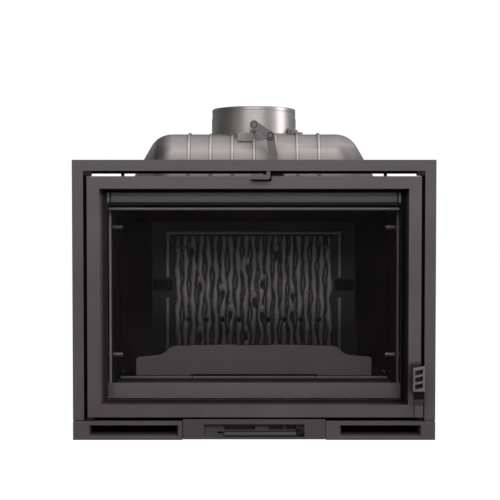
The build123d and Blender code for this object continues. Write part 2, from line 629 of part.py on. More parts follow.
# ---- hearth ----------------------------------------------------------------------------------
def make_firebox_floor():
    """Tray under the hearth plates, with the ash hole and the chute's seat."""
    half = GRATE_HALF - GRATE_LEDGE
    with BuildPart() as tray:
        with BuildSketch(level(TRAY_LOW)):
            plan_face(0, SILL_END)
            cut_span((-half, GRATE_START + GRATE_LEDGE), (half, GRATE_END - GRATE_LEDGE))
        extrude(amount=TRAY_THICK)
    save(tray, "firebox_floor")
    chute_sheet, chute_low = 3.0, PAN_HIGH + 5
    with BuildPart() as chute:
        with BuildSketch(level(chute_low)):
            span((-half - chute_sheet, GRATE_START), (half + chute_sheet, GRATE_END))
            cut_span((-half, GRATE_START + chute_sheet), (half, GRATE_END - chute_sheet))
        extrude(amount=TRAY_LOW - chute_low)
    save(chute, "ash_chute")


def make_hearth():
    """Three plates that cover the floor; the middle one frames the grate."""
    joint_gap, edge_gap, liner_gap, nose = 0.8, 3.0, 2.0, 4.0
    rear = FIREBACK_DEPTH + FIREBACK_THICK
    for name, low_x, high_x in (("hearth_left", -WALL_HALF + edge_gap, -HEARTH_JOINT - joint_gap),
                                ("hearth_centre", -HEARTH_JOINT + joint_gap, HEARTH_JOINT - joint_gap),
                                ("hearth_right", HEARTH_JOINT + joint_gap, WALL_HALF - edge_gap)):
        with BuildPart() as plate:
            with BuildSketch(level(TRAY_TOP)):
                plan_face(-edge_gap, HEARTH_START)
                span((low_x, HEARTH_START), (high_x, rear), mode=Mode.INTERSECT)
                if low_x < 0 < high_x:
                    cut_span((-GRATE_HALF - 1, GRATE_START - 1), (GRATE_HALF + 1, GRATE_END + 1))
                for side in (-1, 1):
                    cut_span((side * HEARTH_EDGE, HEARTH_START - 1),
                             (side * WALL_HALF, LINER_END + liner_gap))
            extrude(amount=HEARTH_THICK)
            fillet(plate.edges().filter_by(Axis.X).group_by(Axis.Y)[0].sort_by(Axis.Z)[-1], nose)
        save(plate, name)


def make_grate():
    """Slotted grate; two rows of slots leave a web down the middle."""
    slots, slot_pitch, slot_width, slot_length = 7, 26.0, 11.0, 60.0
    with BuildPart() as grate:
        box_between((-GRATE_HALF, GRATE_HALF), (GRATE_START, GRATE_END), (TRAY_TOP, HEARTH_TOP))
        with BuildSketch(level(TRAY_TOP - 1)):
            with Locations((0, (GRATE_START + GRATE_END) / 2)):
                with GridLocations(slot_pitch, slot_length + 6, slots, 2):
                    Rectangle(slot_width, slot_length)
        extrude(amount=HEARTH_THICK + 2, mode=Mode.SUBTRACT)
    save(grate, "grate")


def make_front_sill():
    """Sloping sill from the foot of the fire mouth up to a ledge in front of the hearth."""
    foot, foot_thick, top_thick, half = MOUTH_LOW - 5, 4.0, 5.0, MOUTH_HALF - 1
    with BuildPart() as sill:
        with BuildSketch(across(-half)):
            with BuildLine():
                Polyline((PLATE_BACK, foot), (SILL_END - 1, SILL_TOP), (SILL_END, SILL_TOP - 1),
                         (SILL_END, TRAY_LOW), (SILL_END - top_thick, TRAY_LOW),
                         (PLATE_BACK + 5, foot - foot_thick), (PLATE_BACK, foot - foot_thick), close=True)
            make_face()
        extrude(amount=2 * half)
    save(sill, "front_sill")


def make_log_guard():
    """Low guard with a raised middle, drawn as two S curves and a shallow notch."""
    rise_x, rise_z, step_x, step_z = 230.0, GUARD_SHOULDER + 4, 187.0, 187.0
    middle_x, middle_z = step_x + 19, (rise_z + step_z) / 2
    notch_half, notch_drop, foot_half, foot_high = 42.0, 2.2, 150.0, 3.0
    with BuildPart() as guard:
        with BuildSketch(upright(GUARD_DEPTH)):
            with BuildLine():
                for side in (-1, 1):
                    level_run = (-side, 0.08)
                    Polyline((side * foot_half, HEARTH_TOP + foot_high), (side * foot_half, HEARTH_TOP),
                             (side * GUARD_HALF, HEARTH_TOP), (side * GUARD_HALF, GUARD_SHOULDER - 4),
                             (side * (GUARD_HALF - 5), GUARD_SHOULDER), (side * rise_x, rise_z))
                    Spline((side * rise_x, rise_z), (side * middle_x, middle_z), (side * step_x, step_z),
                           tangents=(level_run, level_run))
                    Polyline((side * step_x, step_z), (side * (notch_half + 2), GUARD_TOP),
                             (side * notch_half, GUARD_TOP - notch_drop), (0, GUARD_TOP - notch_drop))
                Line((-foot_half, HEARTH_TOP + foot_high), (foot_half, HEARTH_TOP + foot_high))
            make_face()
        extrude(amount=-GUARD_THICK)
        chamfer(guard.faces().sort_by(Axis.Y)[0].edges(), 1.2)
    save(guard, "log_guard")


# ---- linings ---------------------------------------------------------------------------------
def make_side_liner(side, name):
    """Side lining plate on the tray, with holes for its studs and the baffle pin."""
    with BuildPart() as liner:
        box_between((side * LINER_HALF, side * (LINER_HALF + LINER_THICK)), (LINER_START, LINER_END),
                    (TRAY_TOP, LINER_TOP))
        chamfer(liner.edges().filter_by(Axis.Z), 1.2)
        with BuildSketch(across(side * LINER_HALF)):
            for x, z in stud_places():
                with Locations((x, z)):
                    Circle(STUD_R + RUNNING)
            with Locations(baffle_pin_place()):
                Circle(BAFFLE_PIN_R + RUNNING)
        extrude(amount=side * LINER_THICK, mode=Mode.SUBTRACT)
    save(liner, name)


def stud_places():
    return [(STUD_DEPTH, STUD_LOW), (STUD_DEPTH, STUD_HIGH)]


def baffle_under(depth):
    """Height of the baffle's underside at a depth."""
    run = FIREBACK_DEPTH - BAFFLE_FRONT
    return FIREBACK_TOP + SEAT_GAP + BAFFLE_RISE * (FIREBACK_DEPTH - depth) / run


def baffle_pin_place():
    run = FIREBACK_DEPTH - BAFFLE_FRONT
    slope = hypot(run, BAFFLE_RISE) / run
    return (BAFFLE_PIN_DEPTH, baffle_under(BAFFLE_PIN_DEPTH) - (BAFFLE_PIN_R + 0.1) * slope)


def make_wall_studs():
    """Four round studs that hold the side linings."""
    with BuildPart() as studs:
        for side in (-1, 1):
            with BuildSketch(across(side * WALL_HALF)):
                with Locations(*stud_places()):
                    Circle(STUD_R)
            extrude(amount=-side * (WALL_HALF - LINER_HALF + STUD_PROUD))
        ends = studs.faces().filter_by(Axis.X).filter_by(lambda face: abs(face.center().X) < LINER_HALF)
        chamfer(ends.edges(), 0.8)
    save(studs, "wall_studs")
    pin_depth, pin_z = baffle_pin_place()
    with BuildPart() as pins:
        for side in (-1, 1):
            with BuildSketch(across(side * WALL_HALF)):
                with Locations((pin_depth, pin_z)):
                    Circle(BAFFLE_PIN_R)
            extrude(amount=-side * (WALL_HALF - LINER_HALF + BAFFLE_PIN_PROUD))
    save(pins, "baffle_pins")


def make_corner_liner(side, name):
    """Slanted lining between the side lining and the fireback."""
    front_point = (LINER_HALF - 2, LINER_END + 5)
    back_point = (FIREBACK_HALF + 2, FIREBACK_DEPTH - 4)
    run = hypot(back_point[0] - front_point[0], back_point[1] - front_point[1])
    out_x = (back_point[1] - front_point[1]) / run * CORNER_THICK
    out_y = (front_point[0] - back_point[0]) / run * CORNER_THICK
    loop = [front_point, back_point, (back_point[0] + out_x, back_point[1] + out_y),
            (front_point[0] + out_x, front_point[1] + out_y)]
    with BuildPart() as liner:
        with BuildSketch(level(HEARTH_TOP)):
            with BuildLine():
                Polyline(*[(side * x, y) for x, y in loop], close=True)
            make_face()
        extrude(amount=FIREBACK_TOP - HEARTH_TOP)
        chamfer(liner.edges().filter_by(Axis.Z), 1.5)
    save(liner, name)


def bark_edge(x, phase, half, spread):
    """Points up one edge of a flute, swaying as bark does."""
    points, count = [], 9
    low = HEARTH_TOP + 6
    for i in range(count):
        z = low + (BARK_TOP - low) * i / (count - 1)
        sway = 3.4 * sin(2 * pi * z / 118 + phase) + 1.6 * sin(2 * pi * z / 47 + 2.3 * phase)
        points.append((x + sway + half + spread * sin(2 * pi * z / 83 + 1.7 * phase), z))
    return points


def make_fireback():
    """Cast plate: bead border, field of bark-like flutes, air holes and hanging slots."""
    flutes, ridge_share = 21, 0.30
    pitch = 2 * BARK_HALF / flutes
    holes = [(side * (AIR_HOLE_FIRST + i * AIR_HOLE_PITCH), AIR_HOLE_Z) for side in (-1, 1) for i in range(4)]
    with BuildPart() as fireback:
        box_between((-FIREBACK_HALF, FIREBACK_HALF), (FIREBACK_DEPTH, FIREBACK_DEPTH + FIREBACK_THICK),
                    (HEARTH_TOP, FIREBACK_TOP))
        with BuildSketch(upright(FIREBACK_DEPTH)):
            for i in range(flutes):
                x = -BARK_HALF + pitch * (i + 0.5)
                phase = 2.1 * i + 0.6 * sin(1.9 * i)
                left = bark_edge(x, phase, -pitch * ridge_share, 1.0)
                right = bark_edge(x, phase, pitch * ridge_share, -1.0)
                with BuildLine():
                    Polyline(*left, *reversed(right), close=True)
                make_face()
        extrude(amount=BARK_PROUD)
        with BuildSketch(upright(FIREBACK_DEPTH)):
            span((-BEAD_HALF, HEARTH_TOP), (BEAD_HALF, BEAD_TOP))
            cut_span((-BEAD_HALF + BEAD_WIDTH, HEARTH_TOP), (BEAD_HALF - BEAD_WIDTH, BEAD_TOP - BEAD_WIDTH))
            for side in (-1, 1):
                cut_span((side * BEAD_HALF - BEAD_WIDTH - 1, CLAMP_LOW - 21),
                         (side * BEAD_HALF + BEAD_WIDTH + 1, CLAMP_HIGH + 5))
        extrude(amount=BEAD_PROUD)
        with BuildSketch(upright(FIREBACK_DEPTH - BARK_PROUD - 1)):
            with Locations(*holes):
                Circle(AIR_HOLE_R)
            for side in (-1, 1):
                with Locations((side * HOOK_X, (HOOK_Z + BARK_TOP) / 2)):
                    SlotOverall(BARK_TOP - HOOK_Z + 10, 10, rotation=90)
        extrude(amount=-(FIREBACK_THICK + BARK_PROUD + 2), mode=Mode.SUBTRACT)
    save(fireback, "fireback")


def make_fireback_hooks():
    """T-headed bolts in the hanging slots."""
    head_width, head_high, head_thick, neck_r = 22.0, 9.0, 5.0, 4.0
    front = FIREBACK_DEPTH - BARK_PROUD - SEAT_GAP
    with BuildPart() as hooks:
        for side in (-1, 1):
            box_between((side * HOOK_X - head_width / 2, side * HOOK_X + head_width / 2),
                        (front - head_thick, front), (HOOK_Z - head_high / 2, HOOK_Z + head_high / 2))
            round_bar([(side * HOOK_X, HOOK_Z)], front - 0.5, BACK_DEPTH - front + 0.5, neck_r)
    save(hooks, "fireback_hooks")


def make_liner_clamps():
    """Brackets that clamp the corner linings and the fireback together."""
    thick, inner, outer = 7.0, BEAD_HALF - 16, FIREBACK_HALF - 4
    boss_x, boss_proud, boss_r = inner + 20, 4.0, 6.0
    with BuildPart() as clamps:
        for side in (-1, 1):
            box_between((side * inner, side * outer), (FIREBACK_DEPTH - thick, FIREBACK_DEPTH),
                        (CLAMP_LOW, CLAMP_HIGH))
            round_bar([(side * boss_x, (CLAMP_LOW + CLAMP_HIGH) / 2)], FIREBACK_DEPTH - thick - boss_proud,
                      boss_proud + 1, boss_r)
        chamfer(clamps.faces().filter_by(Axis.X).edges().filter_by(Axis.Z).sort_by(Axis.Y)[0:4], 2.5)
    save(clamps, "liner_clamps")


def make_rear_air_duct():
    """Flat channel behind the fireback that feeds the row of air holes."""
    half, low, high, sheet, stem = 184.0, AIR_HOLE_Z - 18, AIR_HOLE_Z + 18, 2.0, 30.0
    start = FIREBACK_DEPTH + FIREBACK_THICK
    with BuildPart() as duct:
        box_between((-half, half), (start, BACK_DEPTH), (low, high))
        box_between((-stem, stem), (start, BACK_DEPTH), (HEARTH_TOP, low + 1))
        box_between((-half + sheet, half - sheet), (start, BACK_DEPTH - sheet), (low + sheet, high - sheet),
                    mode=Mode.SUBTRACT)
        box_between((-stem + sheet, stem - sheet), (start, BACK_DEPTH - sheet),
                    (HEARTH_TOP - 1, low + sheet + 1), mode=Mode.SUBTRACT)
    save(duct, "rear_air_duct")


def make_baffle():
    """Smoke baffle: rises from the fireback's top edge to the front."""
    half, rear = LINER_HALF - 6, FIREBACK_DEPTH + FIREBACK_THICK - 2
    with BuildPart() as baffle:
        with BuildSketch(across(-half)):
            with BuildLine():
                Polyline((rear, baffle_under(rear) + 2), (FIREBACK_DEPTH, baffle_under(FIREBACK_DEPTH)),
                         (BAFFLE_FRONT, baffle_under(BAFFLE_FRONT)),
                         (BAFFLE_FRONT, baffle_under(BAFFLE_FRONT) + BAFFLE_THICK * 0.9),
                         (rear, baffle_under(rear) + BAFFLE_THICK + 2), close=True)
            make_face()
        extrude(amount=2 * half)
        # its rear corners follow the slanted walls
        for side in (-1, 1):
            with BuildSketch(level(FIREBACK_TOP - 20)):
                with BuildLine():
                    Polyline((side * (half + 1), LINER_END - 2), (side * (FIREBACK_HALF - 12), rear + 1),
                             (side * (half + 1), rear + 1), close=True)
                make_face()
            extrude(amount=90, mode=Mode.SUBTRACT)
    save(baffle, "baffle_plate")


def make_air_wash():
    """Sheet that bends the window air down the glass: a set-back web, a shelf and a rolled lip."""
    sheet, lip_r, lip_z, web = 3.0, 3.2, 510.5, 66.0
    half = LINER_HALF + 5
    with BuildPart() as deflector:
        box_between((-half, half), (web, web + sheet), (lip_z - sheet / 2, BODY_TOP))
        box_between((-half, half), (PLATE_BACK + 2, web + 1), (lip_z - sheet / 2, lip_z + sheet / 2))
        with BuildSketch(across(-half)):
            with Locations((PLATE_BACK + 2, lip_z)):
                Circle(lip_r)
        extrude(amount=2 * half)
    save(deflector, "air_wash_deflector")


# ---- smoke dome and collar -------------------------------------------------------------------
def dome_block(grow):
    """The dome's outer form, moved outwards by grow; hollow forms take a negative value."""
    with BuildPart() as form:
        with BuildSketch(Plane.XY.offset(ROOF)):
            Rectangle(2 * (DOME_HALF + grow), 2 * (DOME_DEPTH + grow))
        with BuildSketch(Plane.XY.offset(DOME_TOP + grow)):
            Rectangle(2 * (DOME_TOP_HALF + grow), 2 * (DOME_TOP_DEPTH + grow))
        loft()
        top = form.faces().sort_by(Axis.Z)[-1]
        foot = form.faces().sort_by(Axis.Z)[0]
        slants = form.edges() - top.edges() - foot.edges()
        fillet(slants, DOME_CORNER + grow)
        fillet(form.faces().sort_by(Axis.Z)[-1].edges(), DOME_EDGE + grow)
    return form.part


def make_dome_ribs():
    """Cast ribs over the dome, each a slice of its cross-section grown a little."""
    foot_half, top_half = DOME_DEPTH + DOME_RIB_PROUD, DOME_TOP_DEPTH + DOME_RIB_PROUD
    top = DOME_TOP + DOME_RIB_PROUD
    with BuildPart() as ribs:
        for i in range(DOME_RIBS):
            x = (i - (DOME_RIBS - 1) / 2) * DOME_RIB_PITCH
            with BuildSketch(Plane.YZ.offset(x - DOME_RIB_WIDTH / 2)) as section:
                with BuildLine():
                    Polyline((-foot_half, ROOF), (-top_half, top), (top_half, top), (foot_half, ROOF),
                             close=True)
                make_face()
                fillet(section.vertices().group_by(Axis.Z)[-1], DOME_EDGE + DOME_RIB_PROUD)
            extrude(amount=DOME_RIB_WIDTH)
    return ribs.part


def make_dome():
    outer = dome_block(0)
    cavity = dome_block(-DOME_WALL)
    ribs = make_dome_ribs()
    neck_low = DOME_TOP - NECK_REACH
    pad_root, milled_margin = 12.0, 14.0
    with BuildPart() as dome:
        add(outer)
        add(ribs)
        with BuildSketch(Plane.XY.offset(ROOF)):
            RectangleRounded(2 * (DOME_HALF + DOME_FLANGE), 2 * (DOME_DEPTH + DOME_FLANGE), DOME_CORNER)
            with Locations(*dome_bolt_places()):
                Circle(DOME_LUG_R)
        extrude(amount=DOME_FLANGE_THICK)
        with BuildSketch(Plane.XY.offset(neck_low)):
            Circle(NECK_R)
        extrude(amount=NECK_TOP - neck_low)
        # pad under the boss of the damper shaft
        box_between((PAD_LEFT, PAD_RIGHT), (FLUE_SETBACK - PAD_REACH, FLUE_SETBACK - NECK_R + pad_root),
                    (PAD_LOW, NECK_TOP))
        add(cavity, mode=Mode.SUBTRACT)
        # the neck stays whole inside the dome and seats the collar on a ledge
        with BuildSketch(Plane.XY.offset(neck_low)):
            Circle(NECK_R)
        extrude(amount=NECK_TOP - neck_low)
        with BuildSketch(Plane.XY.offset(neck_low)):
            Circle(FLUE_R - FLUE_WALL)
        extrude(amount=NECK_TOP - neck_low, mode=Mode.SUBTRACT)
        with BuildSketch(Plane.XY.offset(COLLAR_SEAT)):
            Circle(COLLAR_R + SEAT_GAP)
        extrude(amount=NECK_TOP - COLLAR_SEAT, mode=Mode.SUBTRACT)
        # the ribs are milled level with the neck where the collar and its clamps sit
        with BuildSketch(Plane.XY.offset(NECK_TOP)):
            Circle(CLAMP_RADIUS + milled_margin)
        extrude(amount=2 * DOME_RIB_PROUD, mode=Mode.SUBTRACT)
    save(dome, "smoke_dome")


def dome_bolt_places():
    """Bolt lugs along the dome's foot, clear of the damper linkage in front."""
    edge_x, edge_y = DOME_HALF + DOME_LUG_OUT, DOME_DEPTH + DOME_LUG_OUT
    row = [(side * x, y) for side in (-1, 1) for x in DOME_BOLTS_X for y in (-edge_y, edge_y)]
    return row + [(side * edge_x, y) for side in (-1, 1) for y in (-DOME_BOLT_Y, DOME_BOLT_Y)]


def make_dome_bolts():
    with BuildPart() as bolts:
        with BuildSketch(Plane.XY.offset(ROOF + DOME_FLANGE_THICK)):
            with Locations(*dome_bolt_places()):
                RegularPolygon(DOME_BOLT_HEX / 2, 6, major_radius=False)
        extrude(amount=DOME_BOLT_HEAD)
    save(bolts, "dome_bolts")


def make_collar():
    """Flue collar: plain tube with a rim groove and two bosses for the damper shaft."""
    groove_z, groove_deep, groove_wide = 740.0, 0.7, 1.6
    boss_r = 11.0
    with BuildPart() as collar:
        with BuildSketch(Plane.XY.offset(COLLAR_SEAT)):
            Circle(FLUE_R)
        extrude(amount=COLLAR_TOP - COLLAR_SEAT)
        chamfer(collar.edges().group_by(Axis.Z)[-1], 1.0)
        with BuildSketch(Plane.XY.offset(COLLAR_SEAT)):
            Circle(COLLAR_R)
        extrude(amount=SPIGOT_START - COLLAR_SEAT)
        with BuildSketch(Plane.XY.offset(groove_z)):
            Circle(FLUE_R + 1)
            Circle(FLUE_R - groove_deep, mode=Mode.SUBTRACT)
        extrude(amount=groove_wide, mode=Mode.SUBTRACT)
        for side in (-1, 1):
            boss_face = Plane(origin=(0, side * BOSS_END, DAMPER_Z), x_dir=(1, 0, 0), z_dir=(0, -side, 0))
            with BuildSketch(boss_face):
                Circle(boss_r)
            extrude(amount=BOSS_END - FLUE_R + 3)
        with BuildSketch(Plane.XY.offset(COLLAR_SEAT - 1)):
            Circle(FLUE_R - FLUE_WALL)
        extrude(amount=COLLAR_TOP - COLLAR_SEAT + 2, mode=Mode.SUBTRACT)
        round_bar([(0, DAMPER_Z)], FLUE_SETBACK - BOSS_END - 1, 2 * BOSS_END + 2, SHAFT_R + RUNNING,
                  Mode.SUBTRACT)
    save(collar, "flue_collar")


def make_collar_clamps():
    """Two angle brackets that hold the collar down on the neck, and their long screws."""
    half, thick, leg_high, hole_r, hole_up = 11.0, 4.0, 13.0, 2.2, 7.5
    leg_in, foot_end = COLLAR_R + SEAT_GAP, CLAMP_RADIUS + 8
    turns = PolarLocations(0, 2, start_angle=CLAMP_ANGLE)
    screw_places = PolarLocations(CLAMP_RADIUS, 2, start_angle=CLAMP_ANGLE)
    with BuildPart() as clamps:
        with turns:
            with Locations(((leg_in + foot_end) / 2, 0, NECK_TOP + thick / 2)):
                Box(foot_end - leg_in, 2 * half, thick)
            with Locations((leg_in + thick / 2, 0, NECK_TOP + leg_high / 2)):
                Box(thick, 2 * half, leg_high)
            with Locations((leg_in, 0, NECK_TOP + hole_up)):
                Cylinder(hole_r, 3 * thick, rotation=(0, 90, 0), mode=Mode.SUBTRACT)
        with BuildSketch(Plane.XY.offset(NECK_TOP)):
            Circle(leg_in)
            with screw_places:
                Circle(COLLAR_SCREW_R + PRESS)
        extrude(amount=leg_high + 1, mode=Mode.SUBTRACT)
    save(clamps, "collar_clamps")
    screw_low = DOME_TOP - 22
    with BuildPart() as screws:
        with BuildSketch(Plane.XY.offset(NECK_TOP + thick)):
            with screw_places:
                RegularPolygon(BOLT_HEX / 2, 6, major_radius=False)
        extrude(amount=BOLT_HEAD)
        with BuildSketch(Plane.XY.offset(screw_low)):
            with screw_places:
                Circle(COLLAR_SCREW_R)
        extrude(amount=NECK_TOP + thick - screw_low)
        add(dome_block(0), mode=Mode.SUBTRACT)
        add(make_dome_ribs(), mode=Mode.SUBTRACT)
    save(screws, "collar_screws")


# ---- damper ----------------------------------------------------------------------------------
def bar_between(start, end, half_width):
    """Outline of a bar with round ends on the open sketch."""
    length = hypot(end[0] - start[0], end[1] - start[1])
    angle = degrees(atan2(end[1] - start[1], end[0] - start[0]))
    with Locations(((start[0] + end[0]) / 2, (start[1] + end[1]) / 2)):
        SlotOverall(length + 2 * half_width, 2 * half_width, rotation=angle)


def crank_pin_place():
    return (CRANK_X, DAMPER_Z - CRANK_DROP)


def lower_pin_place():
    return (CONTROL_X + CRANK_X, CONTROL_Z - CRANK_DROP)


def make_damper():
    """Round flap, shut at rest, with its shaft along Y and the crank outside the collar."""
    disc_half, hub, sleeve_half = 1.5, 8.0, DAMPER_R * 0.8
    with BuildPart() as disc:
        with BuildSketch(Plane.XY.offset(DAMPER_Z - disc_half)):
            Circle(DAMPER_R)
        extrude(amount=2 * disc_half)
        round_bar([(0, DAMPER_Z)], FLUE_SETBACK - sleeve_half, 2 * sleeve_half, hub)
        round_bar([(0, DAMPER_Z)], FLUE_SETBACK - DAMPER_R - 1, 2 * DAMPER_R + 2, SHAFT_R, Mode.SUBTRACT)
    save(disc, "damper_disc")
    shaft_start, shaft_end = CRANK_PLANE + 2, FLUE_SETBACK + BOSS_END + 2
    with BuildPart() as shaft:
        round_bar([(0, DAMPER_Z)], shaft_start, shaft_end - shaft_start, SHAFT_R)
    save(shaft, "damper_shaft")
    half, head_r, hub_r, hub_long = 9.0, 10.0, 9.0, 12.0
    with BuildPart() as crank:
        with BuildSketch(upright(CRANK_PLANE)):
            bar_between((0, DAMPER_Z), crank_pin_place(), half)
            with Locations((0, DAMPER_Z)):
                Circle(head_r)
        extrude(amount=-BAR_THICK)
        round_bar([(0, DAMPER_Z)], CRANK_PLANE + BAR_THICK - 1, hub_long + 1, hub_r)
        # blind hole for the shaft
        round_bar([(0, DAMPER_Z)], shaft_start, BAR_THICK + hub_long, SHAFT_R, Mode.SUBTRACT)
        round_bar([crank_pin_place()], CRANK_PLANE + BAR_THICK - 1, BAR_GAP + BAR_THICK + 3, CRANK_PIN_R)
    save(crank, "damper_crank")


def make_damper_link():
    """Bent bar from the crank pin down to the rocker; the lower hole is an easy fit."""
    upper, lower = crank_pin_place(), lower_pin_place()
    knee = (CONTROL_X + 15, CONTROL_Z + 22)
    half = 9.5
    with BuildPart() as link:
        with BuildSketch(upright(LINK_PLANE)):
            bar_between(upper, knee, half)
            bar_between(knee, lower, half)
            with Locations(upper):
                Circle(CRANK_PIN_R + RUNNING, mode=Mode.SUBTRACT)
            with Locations(lower):
                Circle(CRANK_PIN_R + OPEN_PIVOT_GAP, mode=Mode.SUBTRACT)
        extrude(amount=-BAR_THICK)
    save(link, "damper_link")


def make_damper_control():
    """Control shaft over the door, the tab in front and the rocker behind."""
    rocker_end = CRANK_PLANE + BAR_THICK
    shaft_start = TAB_FRONT + TAB_THICK
    with BuildPart() as shaft:
        round_bar([(CONTROL_X, CONTROL_Z)], shaft_start, rocker_end - shaft_start, CONTROL_R)
    save(shaft, "control_shaft")
    tab_mid = (TAB_LOW + TAB_HIGH) / 2
    tab_half = (TAB_HIGH - TAB_LOW) / 2
    with BuildPart() as tab:
        with BuildSketch(upright(TAB_FRONT)):
            bar_between((TAB_LEFT + tab_half, tab_mid), (TAB_RIGHT - tab_half, tab_mid), tab_half)
            span((CONTROL_X - CONTROL_R - 0.6, tab_mid), (CONTROL_X + CONTROL_R + 0.6, CONTROL_Z))
            with Locations((CONTROL_X, CONTROL_Z)):
                Circle(CONTROL_R + 0.6)
        extrude(amount=-TAB_THICK)
        chamfer(tab.faces().sort_by(Axis.Y)[0].edges(), 0.6)
    save(tab, "control_tab")
    with BuildPart() as rocker:
        with BuildSketch(upright(CRANK_PLANE)):
            bar_between((CONTROL_X, CONTROL_Z), lower_pin_place(), 8.0)
        extrude(amount=-BAR_THICK)
        round_bar([(CONTROL_X, CONTROL_Z)], CRANK_PLANE - 1, BAR_THICK + 2, CONTROL_R, Mode.SUBTRACT)
        round_bar([lower_pin_place()], rocker_end - 1, BAR_GAP + BAR_THICK + 3, CRANK_PIN_R)
    save(rocker, "control_rocker")
    block_half, block_low = 11.0, PLATE_TOP
    with BuildPart() as bearing:
        box_between((CONTROL_X - block_half, CONTROL_X + block_half), (PLATE_FRONT + 0.5, PLATE_BACK),
                    (block_low, CONTROL_Z + 8))
        round_bar([(CONTROL_X, CONTROL_Z)], PLATE_FRONT, PLATE_THICK + 1, CONTROL_R + RUNNING, Mode.SUBTRACT)
    save(bearing, "control_bearing")


# ---- ash drawer ------------------------------------------------------------------------------
def make_drawer():
    """Drawer front with a recessed air grille, and the ash pan behind it."""
    wall_front = RECESS_DEPTH
    slot_end, slot_half = SLIDER_STUD_R + 0.2, SLIDER_STUD_R + RUNNING
    lug_thick, lug_top = 3.0, 34.0
    with BuildPart() as front:
        box_between((-DRAWER_HALF, DRAWER_HALF), (-DRAWER_PROUD, SKIRT_DEPTH), (FLOOR_CLEARANCE, DRAWER_TOP))
        fillet(front.faces().sort_by(Axis.Y)[0].edges(), 0.8)
        box_between((-RECESS_HALF, RECESS_HALF), (-DRAWER_PROUD - 1, wall_front), (RECESS_LOW, RECESS_HIGH),
                    mode=Mode.SUBTRACT)
        for low_x, high_x in WINDOWS:
            box_between((low_x, high_x), (wall_front - 1, SKIRT_DEPTH + 1), (WINDOW_LOW, WINDOW_HIGH),
                        mode=Mode.SUBTRACT)
        box_between((SLIDER_STUDS_X[0] - SLIDER_TRAVEL - slot_end, SLIDER_STUDS_X[1] + slot_end),
                    (wall_front - 1, SKIRT_DEPTH + 1), (SLIDER_STUD_Z - slot_half, SLIDER_STUD_Z + slot_half),
                    mode=Mode.SUBTRACT)
    save(front, "drawer_front")
    with BuildPart() as pan:
        box_between((-PAN_HALF, PAN_HALF), (PAN_START, PAN_END), (PAN_LOW, PAN_HIGH))
        box_between((-PAN_HALF + PAN_SHEET, PAN_HALF - PAN_SHEET),
                    (PAN_START + PAN_SHEET, PAN_END - PAN_SHEET), (PAN_LOW + PAN_SHEET, PAN_HIGH + 1),
                    mode=Mode.SUBTRACT)
        # two lugs carry the front
        for side in (-1, 1):
            box_between((side * (PAN_HALF - lug_thick), side * PAN_HALF), (SKIRT_DEPTH, PAN_START + 1),
                        (PAN_LOW, lug_top))
    save(pan, "ash_pan")
    rail_out, rail_width, rail_high = PAN_HALF - 10.0, 24.0, PAN_LOW - SEAT_GAP
    guide, guide_sheet, guide_high = PAN_HALF + 1.5, 3.0, 26.0
    start = PLATE_BACK + 6.0
    with BuildPart() as runners:
        for side in (-1, 1):
            box_between((side * (rail_out - rail_width), side * rail_out), (start, PAN_END),
                        (BASE_THICK, rail_high))
            box_between((side * guide, side * (guide + guide_sheet)), (start, PAN_END),
                        (BASE_THICK, guide_high))
    save(runners, "drawer_runners")


def make_slider():
    """Air slider: shutter behind the grille, pull bar in the recess and a round knob."""
    bar_front, bar_back = -3.0, RECESS_DEPTH - 3
    shutter_front = SKIRT_DEPTH + SEAT_GAP
    left, right = WINDOWS[0][0] - 6, WINDOWS[1][1] + SLIDER_TRAVEL + 4
    low, high = WINDOW_LOW - 12, WINDOW_HIGH + 1.5
    arm_thick = 3.5
    with BuildPart() as slider:
        box_between((left, right), (shutter_front, shutter_front + SLIDER_THICK), (low, high))
        openings = [WINDOWS[0], (WINDOWS[1][0], SLIDER_WEB[0]), (SLIDER_WEB[1], WINDOWS[1][1])]
        for low_x, high_x in openings:
            box_between((low_x, high_x), (shutter_front - 1, shutter_front + SLIDER_THICK + 1),
                        (WINDOW_LOW, WINDOW_HIGH), mode=Mode.SUBTRACT)
        round_bar([(x, SLIDER_STUD_Z) for x in SLIDER_STUDS_X], bar_back - 0.5,
                  shutter_front - bar_back + 1, SLIDER_STUD_R)
    save(slider, "air_slider")
    with BuildPart() as bar:
        box_between((BAR_LEFT, BAR_RIGHT), (bar_front, bar_back - 0.5), (BAR_LOW, BAR_HIGH))
        box_between((BAR_RIGHT - 1, KNOB_X + 5), (bar_back - arm_thick, bar_back - 0.5),
                    (BAR_LOW + 3, KNOB_Z + 5))
        chamfer(bar.faces().sort_by(Axis.Y)[0].edges(), 1.2)
    save(bar, "slider_bar")
    knob_back = bar_back - arm_thick
    stem_r, stem_long, knob_long = 4.0, 3.0, 12.0
    with BuildPart() as knob:
        with BuildSketch(Plane(origin=(KNOB_X, FRONT, KNOB_Z), x_dir=(1, 0, 0), z_dir=(0, 0, 1))):
            with BuildLine():
                Polyline((0, knob_back), (stem_r, knob_back), (stem_r, knob_back - stem_long),
                         (KNOB_R, knob_back - stem_long - 2), (KNOB_R, knob_back - knob_long + 2),
                         (KNOB_R - 2, knob_back - knob_long), (0, knob_back - knob_long), close=True)
            make_face()
        revolve(axis=Axis((KNOB_X, FRONT, KNOB_Z), (0, 1, 0)))
    save(knob, "slider_knob")


